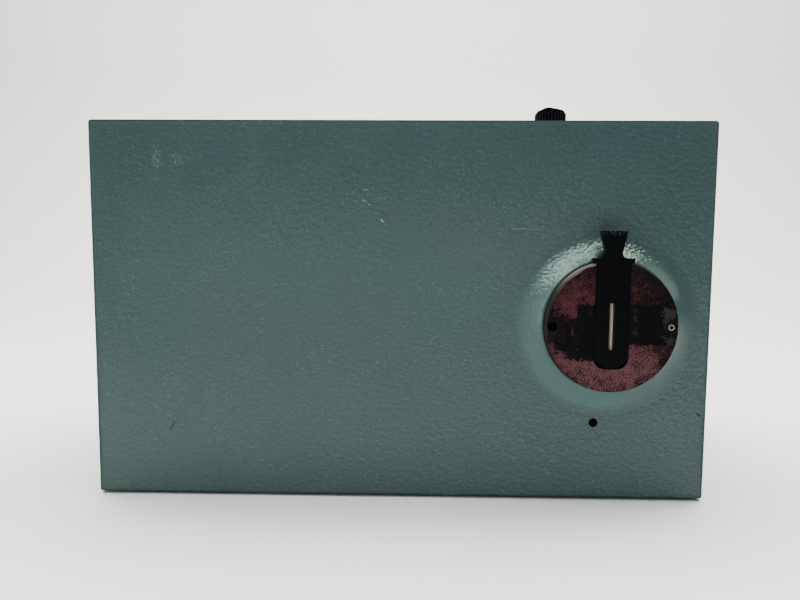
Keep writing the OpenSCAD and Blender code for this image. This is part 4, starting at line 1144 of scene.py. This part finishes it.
class MONO_OT_number_drums(bpy.types.Operator):
    """Print the numbers on both drums"""

    bl_idname = "mono.number_drums"
    bl_label = "Number drums"

    def execute(self, context):
        drive, counter = context.scene.mono_drive, context.scene.mono_counter
        wear(drum_white(drive), "fine_drum", "coarse_drum")
        ink = plain_ink("number_ink", drive.ink)
        rings = (
            ("fine_drum_numbers", FINE_DRUM, counter.fine_start, counter.divisions, "screw_drive"),
            ("coarse_drum_numbers", COARSE_DRUM, counter.coarse_start, 0, "coarse_number_drum"),
        )
        for name, drum, start, divisions, body in rings:
            ring = number_ring(name, drum, start, divisions, counter)
            finish_piece(ring, name, ink, body)
        return {"FINISHED"}


class MONO_OT_print_reading_line(bpy.types.Operator):
    """Print the reading line under the window's glass"""

    bl_idname = "mono.print_reading_line"
    bl_label = "Print reading line"

    def execute(self, context):
        depth = context.scene.mono_counter.ink_depth
        size = (WINDOW[1].x - WINDOW[0].x - 3 * MM, 0.35 * MM, depth)
        place = (middle(WINDOW).x, DRUM_AXIS.y, WINDOW[0].z - depth)
        line = line_bar("reading_line", size, place)
        red = plain_ink("line_ink", context.scene.mono_counter.line)
        finish_piece(line, "reading_line", red, "root")
        return {"FINISHED"}


class MONO_OT_glaze_window(bpy.types.Operator):
    """Glaze the window over the drums"""

    bl_idname = "mono.glaze_window"
    bl_label = "Glaze window"

    def execute(self, context):
        wear(window_glass(), "counter_window")
        return {"FINISHED"}


class MONO_OT_set_stage(bpy.types.Operator):
    """Lay the floor and backdrop, and place the lights and the camera"""

    bl_idname = "mono.set_stage"
    bl_label = "Set stage"

    def execute(self, context):
        stage = context.scene.mono_stage
        lay_floor(stage)
        for name, settings in LIGHTS.items():
            place_light(name, *settings)
        context.scene.world = faint_world()
        context.scene.camera = place_camera(stage)
        return {"FINISHED"}


OPERATORS = [
    MONO_OT_paint_box,
    MONO_OT_finish_base,
    MONO_OT_finish_ports,
    MONO_OT_finish_knob,
    MONO_OT_finish_metal,
    MONO_OT_finish_optics,
    MONO_OT_number_drums,
    MONO_OT_glaze_window,
    MONO_OT_print_reading_line,
    MONO_OT_set_stage,
]


class MONO_PT_panel(bpy.types.Panel):
    """Lists the steps and settings of the monochromator's looks"""

    bl_idname = "MONO_PT_panel"
    bl_label = "Grating Monochromator"
    bl_space_type = "VIEW_3D"
    bl_region_type = "UI"
    bl_category = "Monochromator"

    def draw(self, context):
        for operator in OPERATORS:
            self.layout.operator(operator.bl_idname)
        for name, group in GROUPS.items():
            box = self.layout.box()
            box.label(text=group.__doc__)
            settings = getattr(context.scene, name)
            for key in group.__annotations__:
                box.prop(settings, key)


def register():
    for group in GROUPS.values():
        bpy.utils.register_class(group)
    for name, group in GROUPS.items():
        setattr(bpy.types.Scene, name, PointerProperty(type=group))
    for operator in OPERATORS:
        bpy.utils.register_class(operator)
    bpy.utils.register_class(MONO_PT_panel)


def unregister():
    bpy.utils.unregister_class(MONO_PT_panel)
    for operator in reversed(OPERATORS):
        bpy.utils.unregister_class(operator)
    for name in GROUPS:
        delattr(bpy.types.Scene, name)
    for group in reversed(list(GROUPS.values())):
        bpy.utils.unregister_class(group)


def main():
    register()
    for operator in OPERATORS:
        area, name = operator.bl_idname.split(".")
        getattr(getattr(bpy.ops, area), name)()


if __name__ == "__main__":
    main()
